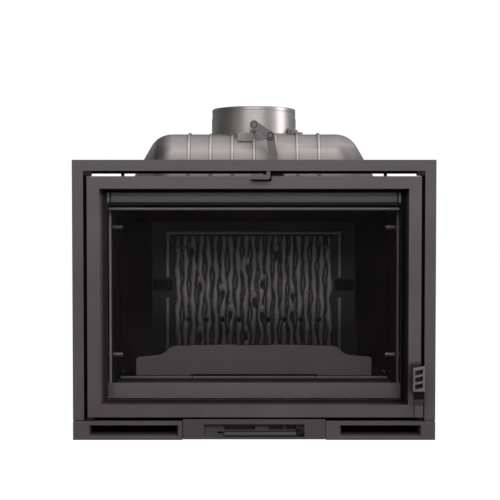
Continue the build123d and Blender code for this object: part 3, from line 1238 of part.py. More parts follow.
# ---- the whole insert ------------------------------------------------------------------------
make_surround()
make_frame_straps()
make_hinge_brackets()
make_skirt(-1, LEFT_SLOT, "skirt_left")
make_skirt(1, RIGHT_SLOT, "skirt_right")
make_door_frame()
make_door_glass()
make_glass_clips()
make_door_rope()
make_handle()
make_base_plate()
make_front_plate()
make_side_wall(-1, "left_wall")
make_side_wall(1, "right_wall")
make_rear_wall()
make_top_plate()
make_firebox_floor()
make_hearth()
make_grate()
make_front_sill()
make_log_guard()
make_side_liner(-1, "side_liner_left")
make_side_liner(1, "side_liner_right")
make_wall_studs()
make_corner_liner(-1, "corner_liner_left")
make_corner_liner(1, "corner_liner_right")
make_fireback()
make_fireback_hooks()
make_liner_clamps()
make_rear_air_duct()
make_baffle()
make_air_wash()
make_dome()
make_dome_bolts()
make_collar()
make_collar_clamps()
make_damper()
make_damper_link()
make_damper_control()
make_drawer()
make_slider()
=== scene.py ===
import json
import math

import bpy
import numpy as np
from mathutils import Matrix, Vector


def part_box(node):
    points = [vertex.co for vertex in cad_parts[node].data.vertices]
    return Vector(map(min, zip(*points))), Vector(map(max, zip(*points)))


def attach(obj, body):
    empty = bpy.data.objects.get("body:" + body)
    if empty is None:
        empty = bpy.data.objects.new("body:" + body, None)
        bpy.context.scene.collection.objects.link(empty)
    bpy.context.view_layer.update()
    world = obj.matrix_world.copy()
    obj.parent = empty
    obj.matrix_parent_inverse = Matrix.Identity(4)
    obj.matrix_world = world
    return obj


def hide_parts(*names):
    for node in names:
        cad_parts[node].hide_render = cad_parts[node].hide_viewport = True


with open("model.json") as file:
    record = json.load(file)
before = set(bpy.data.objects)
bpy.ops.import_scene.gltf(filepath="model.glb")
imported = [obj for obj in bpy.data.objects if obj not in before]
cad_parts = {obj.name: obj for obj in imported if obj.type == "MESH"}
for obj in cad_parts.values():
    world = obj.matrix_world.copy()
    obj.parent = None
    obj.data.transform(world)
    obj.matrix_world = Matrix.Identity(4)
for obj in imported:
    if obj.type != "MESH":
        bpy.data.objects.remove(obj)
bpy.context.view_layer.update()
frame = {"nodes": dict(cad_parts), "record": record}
NODES = frame["nodes"]
MM = 0.001
FACE = -240.0 * MM              # plane of the surround's face
WHITE = (1.0, 1.0, 1.0)

# ---- camera, lights and room -----------------------------------------------------------------
CAMERA_PLACE = (-0.0081, -2.5765, 0.4918)
CAMERA_TILT = 1.7786            # degrees below the horizon
CAMERA_LENS, CAMERA_SENSOR = 76.62, 36.0        # millimetres
CAMERA_SHIFT = (-0.0009, 0.0007)
# soft boxes: where each one stands, where it points, its width and height, and its power
LIGHTS = {
    "key_right": ((2.3, -0.5, 1.15), (0.0, -0.05, 0.60), (1.1, 1.9), 22.0),
    "front_soft": ((0.0, -2.2, 1.8), (0.0, 0.0, 0.45), (2.4, 1.4), 52.0),
}
# the room that lights the object: (turn from the front towards the right in degrees, brightness)
ROOM = [(-128, 0.45), (-104, 0.10), (-68, 0.10), (-46, 0.62), (-12, 0.38), (12, 0.38), (33, 0.70),
        (58, 1.6), (80, 1.8), (100, 1.05), (126, 0.50), (180, 0.45), (213, 0.40)]
ROOM_FRONT = 0.25               # where on the radial gradient the front lies
ROOM_LEVEL, BACKDROP_LEVEL = 0.68, 1.05
FLOOR_SIZE, FLOOR_DROP = 30.0, 0.5 * MM
FLOOR_GLOW, FLOOR_COLOUR = 0.93, (0.22, 0.22, 0.22)


def place_in_scene(obj):
    bpy.context.scene.collection.objects.link(obj)
    return obj


def make_camera():
    camera = place_in_scene(bpy.data.objects.new("camera", bpy.data.cameras.new("camera")))
    camera.location = CAMERA_PLACE
    camera.rotation_euler = (math.radians(90.0 - CAMERA_TILT), 0, 0)
    camera.data.lens = CAMERA_LENS
    camera.data.sensor_width = CAMERA_SENSOR
    camera.data.shift_x, camera.data.shift_y = CAMERA_SHIFT
    bpy.context.scene.camera = camera


def make_light(name, place, target, size, power):
    """A soft box at a place that faces a target."""
    light = place_in_scene(bpy.data.objects.new(name, bpy.data.lights.new(name, "AREA")))
    light.data.shape = "RECTANGLE"
    light.data.size, light.data.size_y = size
    light.data.energy = power
    light.location = place
    facing = (Vector(target) - Vector(place)).to_track_quat("-Z", "Y")
    light.rotation_euler = facing.to_euler()


def feed(tree, value, socket):
    """Gives an input another node's output, a number, a vector or a colour."""
    if isinstance(value, bpy.types.NodeSocket):
        tree.links.new(value, socket)
    elif socket.type == "RGBA":
        socket.default_value = (*value, 1.0)
    else:
        socket.default_value = value


def set_stops(ramp, stops):
    """Puts grey stops on a colour ramp: (position, brightness). New stops start halfway."""
    while len(ramp.elements) < len(stops):
        ramp.elements.new(0.5)
    for element, (position, level) in zip(ramp.elements, stops):
        element.position = position
        element.color = (level, level, level, 1.0)


def seen_or_lighting(tree, seen, lighting):
    """Mixes two shaders: one that the camera sees, and one that lights the scene."""
    path = tree.nodes.new("ShaderNodeLightPath")
    mix = tree.nodes.new("ShaderNodeMixShader")
    for source, socket in zip((path.outputs["Is Camera Ray"], lighting, seen), mix.inputs):
        tree.links.new(source, socket)
    return mix.outputs[0]


def glow(tree, kind, colour, strength):
    """A shader that gives off light: a background or an emission."""
    node = tree.nodes.new(kind)
    feed(tree, colour, node.inputs["Color"])
    node.inputs["Strength"].default_value = strength
    return node.outputs[0]


def make_world():
    """A white backdrop for the camera, and a room with light and dark sides for the object."""
    world = bpy.data.worlds.new("studio")
    world.use_nodes = True
    tree = world.node_tree
    tree.nodes.clear()
    turn = tree.nodes.new("ShaderNodeTexGradient")
    turn.gradient_type = "RADIAL"
    direction = tree.nodes.new("ShaderNodeTexCoord").outputs["Generated"]
    tree.links.new(direction, turn.inputs["Vector"])
    room = tree.nodes.new("ShaderNodeValToRGB")
    tree.links.new(turn.outputs["Fac"], room.inputs["Fac"])
    set_stops(room.color_ramp,
              sorted(((angle / 360 + ROOM_FRONT) % 1.0, level) for angle, level in ROOM))
    backdrop = glow(tree, "ShaderNodeBackground", WHITE, BACKDROP_LEVEL)
    fill = glow(tree, "ShaderNodeBackground", room.outputs["Color"], ROOM_LEVEL)
    output = tree.nodes.new("ShaderNodeOutputWorld")
    tree.links.new(seen_or_lighting(tree, backdrop, fill), output.inputs["Surface"])
    bpy.context.scene.world = world
    bpy.context.scene.view_settings.view_transform = "Standard"


def make_floor():
    """Pale studio floor, lit so evenly that it runs into the backdrop."""
    half = FLOOR_SIZE / 2
    corners = [(-half, -half, 0), (half, -half, 0), (half, half, 0), (-half, half, 0)]
    mesh = bpy.data.meshes.new("floor")
    mesh.from_pydata(corners, [], [(0, 1, 2, 3)])
    floor = place_in_scene(bpy.data.objects.new("floor", mesh))
    floor.location.z = -FLOOR_DROP
    paint = bpy.data.materials.new("floor")
    paint.use_nodes = True
    tree = paint.node_tree
    tree.nodes.clear()
    matt = tree.nodes.new("ShaderNodeBsdfDiffuse")
    feed(tree, FLOOR_COLOUR, matt.inputs["Color"])
    both = tree.nodes.new("ShaderNodeAddShader")
    tree.links.new(glow(tree, "ShaderNodeEmission", WHITE, FLOOR_GLOW), both.inputs[0])
    tree.links.new(matt.outputs[0], both.inputs[1])
    output = tree.nodes.new("ShaderNodeOutputMaterial")
    surface = seen_or_lighting(tree, both.outputs[0], matt.outputs[0])
    tree.links.new(surface, output.inputs["Surface"])
    mesh.materials.append(paint)


# ---- shader nodes ----------------------------------------------------------------------------
NOISE_SPAN = (0.3, 0.7)         # where the values of noise mostly lie
NOISE_ROUGHNESS = 0.55
EDGE_SAMPLES = 4
EDGE_SPAN = (0.985, 0.90)       # how far the rounded normal follows the true one: flat, edge
MIX_NUMBERS, MIX_COLOURS = (0, 2, 3, 0), (0, 6, 7, 2)    # sockets: factor, first, second, result


def shader(name):
    """A new material: itself, its node tree, its principled shader and object coordinates."""
    material = bpy.data.materials.new(name)
    material.use_nodes = True
    tree = material.node_tree
    place = tree.nodes.new("ShaderNodeTexCoord").outputs["Object"]
    return material, tree, tree.nodes["Principled BSDF"], place


def calculate(tree, operation, *values):
    """A number worked out from other numbers."""
    node = tree.nodes.new("ShaderNodeMath")
    node.operation = operation
    for value, socket in zip(values, node.inputs):
        feed(tree, value, socket)
    return node.outputs["Value"]


def measure(tree, operation, *vectors):
    """A number worked out from vectors: a length, a distance or a dot product."""
    node = tree.nodes.new("ShaderNodeVectorMath")
    node.operation = operation
    for vector, socket in zip(vectors, node.inputs):
        feed(tree, vector, socket)
    return node.outputs["Value"]


def combine(tree, **parts):
    """A vector from some of its parts X, Y and Z; the others are zero."""
    node = tree.nodes.new("ShaderNodeCombineXYZ")
    for name, value in parts.items():
        tree.links.new(value, node.inputs[name])
    return node.outputs[0]


def scale_colour(tree, colour, factor):
    node = tree.nodes.new("ShaderNodeVectorMath")
    node.operation = "SCALE"
    tree.links.new(colour, node.inputs[0])
    tree.links.new(factor, node.inputs["Scale"])
    return node.outputs[0]


def map_range(tree, value, start, end, low, high):
    """low where the value is at start, high at end, a straight run between them."""
    node = tree.nodes.new("ShaderNodeMapRange")
    limits = {"From Min": start, "From Max": end, "To Min": low, "To Max": high}
    for name, limit in limits.items():
        node.inputs[name].default_value = limit
    tree.links.new(value, node.inputs["Value"])
    return node.outputs[0]


def mix(tree, kind, sockets, factor, first, second):
    """first where the factor is 0, second where it is 1."""
    node = tree.nodes.new("ShaderNodeMix")
    node.data_type = kind
    *inputs, result = sockets
    for value, index in zip((factor, first, second), inputs):
        feed(tree, value, node.inputs[index])
    return node.outputs[result]


def blend_colours(tree, factor, first, second):
    return mix(tree, "RGBA", MIX_COLOURS, factor, first, second)


def noise(tree, place, size, detail):
    """Noise whose lumps are about this size in metres."""
    node = tree.nodes.new("ShaderNodeTexNoise")
    node.inputs["Scale"].default_value = 1.0 / size
    node.inputs["Detail"].default_value = detail
    node.inputs["Roughness"].default_value = NOISE_ROUGHNESS
    tree.links.new(place, node.inputs["Vector"])
    return node.outputs["Fac"]


def spread(tree, value, low, high):
    """Maps noise to low to high."""
    return map_range(tree, value, *NOISE_SPAN, low, high)


def bump(tree, height, strength, distance, under=None):
    node = tree.nodes.new("ShaderNodeBump")
    node.inputs["Strength"].default_value = strength
    node.inputs["Distance"].default_value = distance
    tree.links.new(height, node.inputs["Height"])
    if under is not None:
        tree.links.new(under, node.inputs["Normal"])
    return node.outputs[0]


def soft_edges(tree, radius):
    """Shading normal with edges rounded by this radius."""
    node = tree.nodes.new("ShaderNodeBevel")
    node.samples = EDGE_SAMPLES
    node.inputs["Radius"].default_value = radius
    return node.outputs[0]


def edge_mask(tree, rounded):
    """1 on edges, where the rounded normal leaves the true one."""
    normal = tree.nodes.new("ShaderNodeNewGeometry").outputs["Normal"]
    likeness = measure(tree, "DOT_PRODUCT", normal, rounded)
    return map_range(tree, likeness, *EDGE_SPAN, 0.0, 1.0)


# ---- where light and shade are painted into the colour ---------------------------------------
# Places here are in millimetres: x from the middle to the right, out from the middle to either
# side, reach from the collar's axis, depth back from the surround's face, z up from the floor.
# A pair of places is where a change starts and ends; a pair named FADE is the brightness there.
RING_FADE = 0.6
# the door: painted shade on its bevel round the window, and the painted shadow of the handle's head
# on it
BEVEL, BEVEL_SLOPE, BEVEL_FADE = (0.6, 2.0), (4, 14), (1.15, 0.32)
BEVEL_ACROSS = (-340, 0.80), (-320, 0.52), (300, 0.52), (330, 0.24)
BEVEL_TOP, BEVEL_TOP_FADE = (535, 545), (1.0, 0.3)
SHADOW_SIDE, SHADOW_FOOT, SHADOW_TOP, SHADOW = (334, 346), (98, 112), (166, 176), 0.28
# the surround: painted shade in its returns round the door and in the air slots of the skirts, and
# the drawer's front
BEHIND_FACE = (0.6, 2.4)
RETURN_SIDE, RETURN_FOOT, RETURN_TOP, RETURN = (384.5, 386.5), (43.5, 44.0), (603.0, 604.5), 0.05
SLOT_SIDE, SLOT_TOP, SLOT_DEPTH, SLOT_FADE = (160.0, 160.5), (34.0, 34.5), (2, 10), (0.95, 0.15)
DRAWER_SIDE, DRAWER_TOP, DRAWER = (157.5, 158.2), (46.5, 47.5), 0.80
# the front plate: painted shade, but on the band over the fire mouth painted light, joint shade and
# end highlights
PLATE_FACE, BODY_BEHIND, PLATE_SHADE = (53.8, 54.2), 0.75, 0.01
BAND_SIDE, BAND_FOOT, BAND_TOP = (331.5, 332.5), (525.0, 525.4), (549, 550)
BAND_RISE, BAND_FADE = (525.5, 546), (1.35, 3.4)
JOINT_SIDE, BAND_END, JOINT_SHADE, END_HIGHLIGHT_FADE = (320.0, 320.5), (323.5, 324.0), 0.05, (1.0, 2.4)
# the hearth plates and the sill, with painted light and shade
HEARTH_FRONT, HEARTH_EDGE, HEARTH_FLAT = (160, 161), (168.2, 168.8), (168.0, 168.8)
HEARTH_EDGE_UP = (104.5, 0.04), (111, 0.30), (114, 0.75), (116.5, 1.5)
HEARTH_TOP, HEARTH_LIMIT = (116.6, 116.9), (117.3, 117.6)
HEARTH_BACK, HEARTH_FADE = (175, 240), (0.03, 0.10)
SILL_BACK, SILL_UP, SILL_FADE = (80, 82), (80, 115), (0.72, 0.96)
# the side linings: painted light and shade on their flats and painted highlights on their front
# edges, from left to right
LINING_EDGE, LINING_SIDE = (78.6, 79.2), (323.8, 324.3)
LINING_ACROSS, LINING_FADE = (-200, 300), (0.7, 0.4)
HIGHLIGHT_ACROSS, HIGHLIGHT_FADE = (-100, 100), (13.0, 5.0)
# the air-wash deflector: its near side, and where the lip's painted highlight ends and the web's
# painted shade starts
NEAR_SIDE, NEAR_FOOT, NEAR_TOP = (88, 90), (500, 502), (528, 530)
LIP_END, LIP_FADE = (513.8, 514.4), (1.7, 0.02)
# the smoke dome: ribs, slopes, neck and pad, with painted light and shade
FIRST_RIB, RIB_PITCH, RIBS_END = -150, 50, (156.0, 156.5)
RIB_CROWN, RIB_SHADE_EDGE, CROWN, RIB_SHADE = (2.4, 2.7), (2.7, 4.9), 1.40, 0.40
DOME_UP = ((620, 0.50), (640, 0.80), (652, 1.0), (660, 1.35), (678, 1.25), (686, 0.80))
DOME_ACROSS = ((-250, 1.25), (-236, 0.95), (-226, 0.35), (-212, 0.38), (-190, 1.0), (190, 1.0),
               (212, 0.80), (250, 0.80))
NECK_SIDE, NECK_FOOT, NECK = (108.3, 108.8), (650.0, 650.2), 0.62
PAD_LEFT, PAD_RIGHT, PAD_FACE = (-38.5, -38.0), (-1.0, -0.5), (131.5, 132.5)
PAD_FOOT, PAD = (666.0, 666.5), 0.80
# the slider's bar and the damper's tab, with painted light on their fronts
BAR_FACE, BAR_SIDE, BAR_FOOT, BAR_TOP = (-1.8, -1.2), (98, 100), (10.0, 10.2), (18.4, 18.8)
TAB_FACE, TAB_FOOT, BAR, TAB = (-13.9, -13.4), (574.0, 574.5), 5.5, 5.0
# the studs on the linings, painted darker as shade
STUD_SIDE, STUD_FOOT, STUD_FACE = (290, 294), (160, 170), (80, 84)
STUDS_UP, STUD_FADE = (200, 450), (0.62, 0.42)
# the damper's crank: (x, z) of a centre, then the inside and the outside of a ring of painted shade
# round it
CRANK_PIN, SHAFT_END = ((36.6, 676.5), 4.8, 6.6), ((0.0, 700.3), 5.8, 7.2)
CRANK, PIN_SHADE, SHAFT_SHADE = 1.15, 0.20, 0.35
# the handle: where its shank turns into the neck, painted dark as shade, and the neck into the
# head, painted light
SHANK_TOP, SHANK_FADE, HEAD_FOOT, HEAD = (93, 94), (1.0, 0.2), (112.0, 112.8), 1.7
# the fireback: painted light and shade over the depth of the bark, and from the hearth upwards
PLATE = 400.0
BARK_DEPTH = ((PLATE - 5.0, 3.1), (PLATE - 2.2, 2.4), (PLATE - 1.0, 0.90), (PLATE - 0.1, 0.46),
              (PLATE + 1.2, 0.08), (PLATE + 4.0, 0.02))
BARK_UP, BARK_FADE = (200, 310), (0.22, 0.95)


class Shades:
    """Builds a brightness factor, mostly painted light and shade, from where a point lies on the
    object.
    """

    def __init__(self, tree, place):
        self.tree = tree
        split = tree.nodes.new("ShaderNodeSeparateXYZ")
        tree.links.new(place, split.inputs[0])
        x, y, z = split.outputs
        self.axes = {"x": x, "depth": y, "z": z, "out": calculate(tree, "ABSOLUTE", x),
                     "reach": measure(tree, "LENGTH", combine(tree, X=x, Y=y))}

    def ramp(self, axis, start, end, low, high):
        """low before start, high past end, a straight run between them."""
        zero = FACE if axis == "depth" else 0.0
        return map_range(self.tree, self.axes[axis], zero + start * MM, zero + end * MM, low, high)

    def rise(self, axis, start, end):
        """0 before start, 1 past end."""
        return self.ramp(axis, start, end, 0.0, 1.0)

    def fall(self, axis, start, end):
        """1 before start, 0 past end."""
        return self.ramp(axis, start, end, 1.0, 0.0)

    def curve(self, axis, *stops):
        """Straight runs between (place, brightness) stops."""
        first, last = stops[0][0], stops[-1][0]
        node = self.tree.nodes.new("ShaderNodeValToRGB")
        set_stops(node.color_ramp, [((place - first) / (last - first), level)
                                    for place, level in stops])
        self.tree.links.new(self.rise(axis, first, last), node.inputs["Fac"])
        return node.outputs["Color"]

    def measure_ribs(self):
        """Adds the axis rib: how far off the middle of the dome's nearest rib a point lies."""
        shift = calculate(self.tree, "SUBTRACT", self.axes["x"], FIRST_RIB * MM)
        self.axes["rib"] = calculate(self.tree, "PINGPONG", shift, RIB_PITCH / 2 * MM)

    def ring(self, centre, inside, outside):
        """1 on a ring round an axis along Y through an (x, z) centre, 0 off it."""
        x, z = centre
        level = combine(self.tree, X=self.axes["x"], Z=self.axes["z"])
        self.axes["away"] = measure(self.tree, "DISTANCE", level, (x * MM, 0.0, z * MM))
        return self.times(self.rise("away", inside - RING_FADE, inside),
                          self.fall("away", outside, outside + RING_FADE))

    def times(self, first, *others):
        for other in others:
            first = calculate(self.tree, "MULTIPLY", first, other)
        return first

    def mix(self, mask, outside, inside):
        return mix(self.tree, "FLOAT", MIX_NUMBERS, mask, outside, inside)


def door_shades(s):
    """The window's bevel is painted darker as shade, most of all on the right, on top and deeper
    in.

    A shadow lies on the door behind the handle's head, where its slots show it.
    """
    bevel_shade = s.times(s.curve("x", *BEVEL_ACROSS), s.ramp("z", *BEVEL_TOP, *BEVEL_TOP_FADE),
                   s.ramp("depth", *BEVEL_SLOPE, *BEVEL_FADE))
    shadow = s.times(s.rise("x", *SHADOW_SIDE), s.rise("z", *SHADOW_FOOT),
                     s.fall("z", *SHADOW_TOP))
    return s.times(s.mix(s.rise("depth", *BEVEL), 1.0, bevel_shade), s.mix(shadow, 1.0, SHADOW))


def surround_shades(s):
    """Painted shade in the door's returns and the air slots; the drawer is darker than the skirts.
    """
    deep = s.rise("depth", *BEHIND_FACE)
    returns = s.times(deep, s.fall("out", *RETURN_SIDE), s.fall("z", *RETURN_TOP),
                      s.rise("z", *RETURN_FOOT))
    drawer = s.times(s.fall("out", *DRAWER_SIDE), s.fall("z", *DRAWER_TOP))
    slots = s.times(deep, s.fall("z", *SLOT_TOP), s.rise("out", *SLOT_SIDE))
    return s.times(s.mix(returns, 1.0, RETURN), s.mix(drawer, 1.0, DRAWER),
                   s.mix(slots, 1.0, s.ramp("depth", *SLOT_DEPTH, *SLOT_FADE)))


def body_shades(s):
    """Painted shade on the front plate, but painted light on the band over the fire mouth and at
    its ends.
    """
    front = s.fall("depth", *PLATE_FACE)
    band = s.times(s.fall("out", *BAND_SIDE), s.rise("z", *BAND_FOOT), s.fall("z", *BAND_TOP))
    joint = s.times(s.rise("out", *JOINT_SIDE), s.fall("out", *BAND_END))
    tone = s.times(s.ramp("z", *BAND_RISE, *BAND_FADE), s.mix(joint, 1.0, JOINT_SHADE),
                   s.ramp("out", *BAND_END, *END_HIGHLIGHT_FADE))
    return s.mix(front, BODY_BEHIND, s.mix(band, PLATE_SHADE, tone))


def hearth_shades(s):
    """Painted highlights on the rounded front edge of the hearth plates; the sill is painted
    lighter upwards.

    The foot of the edge and the flat of the plates are painted dark as shade.
    """
    edge = s.times(s.rise("depth", *HEARTH_FRONT), s.fall("depth", *HEARTH_EDGE))
    flat = s.times(s.rise("depth", *HEARTH_FLAT), s.rise("z", *HEARTH_TOP),
                   s.fall("z", *HEARTH_LIMIT))
    tone = s.mix(edge, 1.0, s.curve("z", *HEARTH_EDGE_UP))
    tone = s.mix(flat, tone, s.ramp("depth", *HEARTH_BACK, *HEARTH_FADE))
    return s.mix(s.fall("depth", *SILL_BACK), tone, s.ramp("z", *SILL_UP, *SILL_FADE))


def lining_shades(s):
    """Painted highlights on the front edges of the side linings; their flats are painted lighter on
    the left.
    """
    edge = s.times(s.fall("depth", *LINING_EDGE), s.rise("out", *LINING_SIDE))
    return s.mix(edge, s.ramp("x", *LINING_ACROSS, *LINING_FADE),
                 s.ramp("x", *HIGHLIGHT_ACROSS, *HIGHLIGHT_FADE))


def deflector_shades(s):
    """The rolled lip of the air-wash deflector has a painted highlight and its web painted shade.
    """
    near = s.times(s.fall("depth", *NEAR_SIDE), s.rise("z", *NEAR_FOOT), s.fall("z", *NEAR_TOP))
    return s.mix(near, 1.0, s.ramp("z", *LIP_END, *LIP_FADE))


def dome_shades(s):
    """Painted highlights on the ribs' crowns, between lines of painted shade.

    Painted shade lies on the left corner, on the neck and at the top and foot; the pad is darker.
    """
    s.measure_ribs()
    beyond = s.rise("out", *RIBS_END)
    off_rib = s.mix(beyond, s.rise("rib", *RIB_SHADE_EDGE), 1.0)
    on_rib = s.mix(beyond, s.fall("rib", *RIB_CROWN), 0.0)
    tone = s.times(s.curve("z", *DOME_UP), s.curve("x", *DOME_ACROSS),
                   s.mix(on_rib, s.mix(off_rib, RIB_SHADE, 1.0), CROWN))
    neck = s.times(s.fall("reach", *NECK_SIDE), s.rise("z", *NECK_FOOT))
    pad = s.times(s.rise("x", *PAD_LEFT), s.fall("x", *PAD_RIGHT), s.fall("depth", *PAD_FACE),
                  s.rise("z", *PAD_FOOT))
    return s.mix(pad, s.mix(neck, tone, NECK), PAD)


def black_shades(s):
    """Painted light on the fronts of the slider's bar and of the damper's tab."""
    bar = s.times(s.fall("depth", *BAR_FACE), s.rise("z", *BAR_FOOT), s.fall("z", *BAR_TOP),
                  s.fall("out", *BAR_SIDE))
    tab = s.times(s.rise("z", *TAB_FOOT), s.fall("depth", *TAB_FACE))
    return s.times(s.mix(bar, 1.0, BAR), s.mix(tab, 1.0, TAB))


def steel_shades(s):
    """The studs on the side linings are painted darker as shade, the upper pair more."""
    studs = s.times(s.rise("out", *STUD_SIDE), s.rise("z", *STUD_FOOT),
                    s.rise("depth", *STUD_FACE))
    return s.mix(studs, 1.0, s.ramp("z", *STUDS_UP, *STUD_FADE))


def linkage_shades(s):
    """Rings of painted shade round the crank's pin and round the end of the damper's shaft."""
    return s.times(s.mix(s.ring(*CRANK_PIN), CRANK, PIN_SHADE),
                   s.mix(s.ring(*SHAFT_END), 1.0, SHAFT_SHADE))


def handle_shades(s):
    """The head is painted lighter as lit, and the neck under it dark as shade."""
    return s.mix(s.rise("z", *HEAD_FOOT), s.ramp("z", *SHANK_TOP, *SHANK_FADE), HEAD)


def bark_shades(s):
    """Painted highlights on the crowns, painted shade in the furrows, and less painted light
    towards the hearth.
    """
    return s.times(s.curve("depth", *BARK_DEPTH), s.ramp("z", *BARK_UP, *BARK_FADE))


# ---- materials -------------------------------------------------------------------------------
GRAIN_SIZE, CLOUD_SIZE, SCUFF_SIZE, LUMP_SIZE = 1.2 * MM, 90 * MM, 20 * MM, 11 * MM
SLOW_DETAIL, FINE_DETAIL = 4.0, 2.0
GRAIN_DEPTH, LUMP_DEPTH = 0.3 * MM, 2.0 * MM
GRAIN_SHARE = 0.22              # how far the grain goes from the paint's tone to its light tone
CLOUD_DARK, CLOUD_LIGHT, GRAIN_LIGHT = 0.90, 1.10, 1.35        # tones, as shares of the colour
WORN_SCALE, WORN_LIFT = 1.9, 0.01                              # the colour of worn edges
LEAST_WEAR = 0.15               # share of the wear that is left between the scuffs
SMOOTHER, ROUGHER = 0.05, 0.06  # how far the roughness goes under and over its middle
IRON_EDGE, ZINC_EDGE = 0.8 * MM, 0.4 * MM
HAZE_SIZE, HAZE_DETAIL, HAZE_SPAN = 120 * MM, 3.0, (0.012, 0.03)
GLASS_TINTS = (0.10, 0.09, 0.085), (0.14, 0.13, 0.12)
GLASS_ROUGHNESS, GLASS_SPECULAR = 0.04, 0.5


def tinted(colour, scale, lift=0.0):
    return tuple(min(1.0, channel * scale + lift) for channel in colour)


def iron(name, colour, roughness, metallic=0.0, specular=0.4, relief=0.25, lumps=0.0, wear=0.35,
         shades=None):
    """Painted or bare iron: fine grain, slow cloudiness and lighter worn edges."""
    material, tree, principled, place = shader(name)
    rounded = soft_edges(tree, IRON_EDGE)
    cloud = noise(tree, place, CLOUD_SIZE, SLOW_DETAIL)
    grain = noise(tree, place, GRAIN_SIZE, FINE_DETAIL)
    tone = blend_colours(tree, spread(tree, cloud, 0.0, 1.0), tinted(colour, CLOUD_DARK),
                         tinted(colour, CLOUD_LIGHT))
    speckle = blend_colours(tree, spread(tree, grain, 0.0, GRAIN_SHARE), tone,
                            tinted(colour, GRAIN_LIGHT))
    scuffs = noise(tree, place, SCUFF_SIZE, SLOW_DETAIL)
    worn = calculate(tree, "MULTIPLY", edge_mask(tree, rounded),
                     spread(tree, scuffs, LEAST_WEAR * wear, wear))
    paint = blend_colours(tree, worn, speckle, tinted(colour, WORN_SCALE, WORN_LIFT))
    # painted light and shade, from where a point lies on the object
    if shades:
        maker = Shades(tree, place)
        factor = shades(maker)
        paint = scale_colour(tree, paint, factor)
        specular = maker.times(factor, specular)
    feed(tree, specular, principled.inputs["Specular IOR Level"])
    tree.links.new(paint, principled.inputs["Base Color"])
    tree.links.new(spread(tree, cloud, roughness - SMOOTHER, roughness + ROUGHER),
                   principled.inputs["Roughness"])
    principled.inputs["Metallic"].default_value = metallic
    normal = rounded
    if lumps:
        swelling = noise(tree, place, LUMP_SIZE, FINE_DETAIL)
        normal = bump(tree, swelling, lumps, LUMP_DEPTH, normal)
    tree.links.new(bump(tree, grain, relief, GRAIN_DEPTH, normal), principled.inputs["Normal"])
    return material


def streaked(name, size, detail, colours, roughness, relief, depth, edge=None, **inputs):
    """A material whose colour, roughness and relief follow the same fine noise."""
    material, tree, principled, place = shader(name)
    streaks = noise(tree, place, size, detail)
    tone = blend_colours(tree, spread(tree, streaks, 0.0, 1.0), *colours)
    tree.links.new(tone, principled.inputs["Base Color"])
    tree.links.new(spread(tree, streaks, *roughness), principled.inputs["Roughness"])
    under = soft_edges(tree, edge) if edge else None
    tree.links.new(bump(tree, streaks, relief, depth, under), principled.inputs["Normal"])
    for socket, value in inputs.items():
        principled.inputs[socket].default_value = value
    return material


def glass(name):
    """Clear ceramic glass: almost nothing but a faint gloss, with slight haze."""
    material, tree, principled, place = shader(name)
    haze = spread(tree, noise(tree, place, HAZE_SIZE, HAZE_DETAIL), *HAZE_SPAN)
    tree.links.new(blend_colours(tree, haze, *GLASS_TINTS), principled.inputs["Base Color"])
    tree.links.new(haze, principled.inputs["Alpha"])
    principled.inputs["Roughness"].default_value = GLASS_ROUGHNESS
    principled.inputs["Specular IOR Level"].default_value = GLASS_SPECULAR
    return material


# irons and steels, with what departs from the defaults of iron()
IRONS = {
    "surround_steel": dict(colour=(0.074, 0.061, 0.065), roughness=0.52, wear=0.3,
                           shades=surround_shades),
    "door_iron": dict(colour=(0.080, 0.064, 0.069), roughness=0.50, wear=0.3, shades=door_shades),
    "body_iron": dict(colour=(0.060, 0.055, 0.056), roughness=0.62, lumps=0.10, relief=0.4,
                      shades=body_shades),
    "dome_iron": dict(colour=(0.262, 0.240, 0.235), roughness=0.42, metallic=0.40, lumps=0.04,
                      relief=0.15, shades=dome_shades),
    "collar_iron": dict(colour=(0.33, 0.305, 0.305), roughness=0.31, metallic=0.85, relief=0.02,
                        wear=0.5),
    "hearth_iron": dict(colour=(0.058, 0.048, 0.051), roughness=0.55, relief=0.35,
                        shades=hearth_shades),
    "lining_iron": dict(colour=(0.012, 0.0095, 0.0095), roughness=0.60, specular=0.12,
                        relief=0.35, wear=0.1, shades=lining_shades),
    "fireback_iron": dict(colour=(0.070, 0.064, 0.065), roughness=0.46, specular=0.35,
                          relief=0.3, shades=bark_shades),
    "handle_iron": dict(colour=(0.076, 0.063, 0.067), roughness=0.45, wear=0.5,
                        shades=handle_shades),
    "linkage_steel": dict(colour=(0.085, 0.075, 0.077), roughness=0.42, metallic=0.3, wear=0.6,
                          shades=linkage_shades),
    "black_steel": dict(colour=(0.009, 0.008, 0.008), roughness=0.55, specular=0.15, wear=0.2,
                        shades=black_shades),
    "dark_steel": dict(colour=(0.070, 0.062, 0.062), roughness=0.42, metallic=0.3, wear=0.4,
                       shades=deflector_shades),
    "bare_steel": dict(colour=(0.16, 0.15, 0.145), roughness=0.40, metallic=0.6, wear=0.4,
                       shades=steel_shades),
}
# bright zinc plate with faint drawn streaks, and black glass-fibre rope or tape
STREAKED = {
    "zinc_steel": dict(size=1.5 * MM, detail=3.0, roughness=(0.20, 0.34), relief=0.15,
                       colours=((0.62, 0.61, 0.60), (0.82, 0.81, 0.80)), depth=0.2 * MM,
                       edge=ZINC_EDGE, Metallic=1.0),
    "seal_rope": dict(size=0.8 * MM, detail=4.0, roughness=(0.80, 0.95), relief=0.6,
                      colours=((0.012, 0.011, 0.011), (0.040, 0.037, 0.036)), depth=0.6 * MM,
                      **{"Sheen Weight": 0.25}),
}


def make_materials():
    """One material for each slot of the record."""
    materials = {name: iron(name, **look) for name, look in IRONS.items()}
    materials.update({name: streaked(name, **look) for name, look in STREAKED.items()})
    materials["ceramic_glass"] = glass("ceramic_glass")
    return materials


def dress_nodes(materials):
    """Gives every CAD node the material of its slot."""
    for entry in frame["record"]["subparts"]:
        for holder in NODES[entry["node"]].material_slots:
            holder.material = materials[entry["material_slot"]]


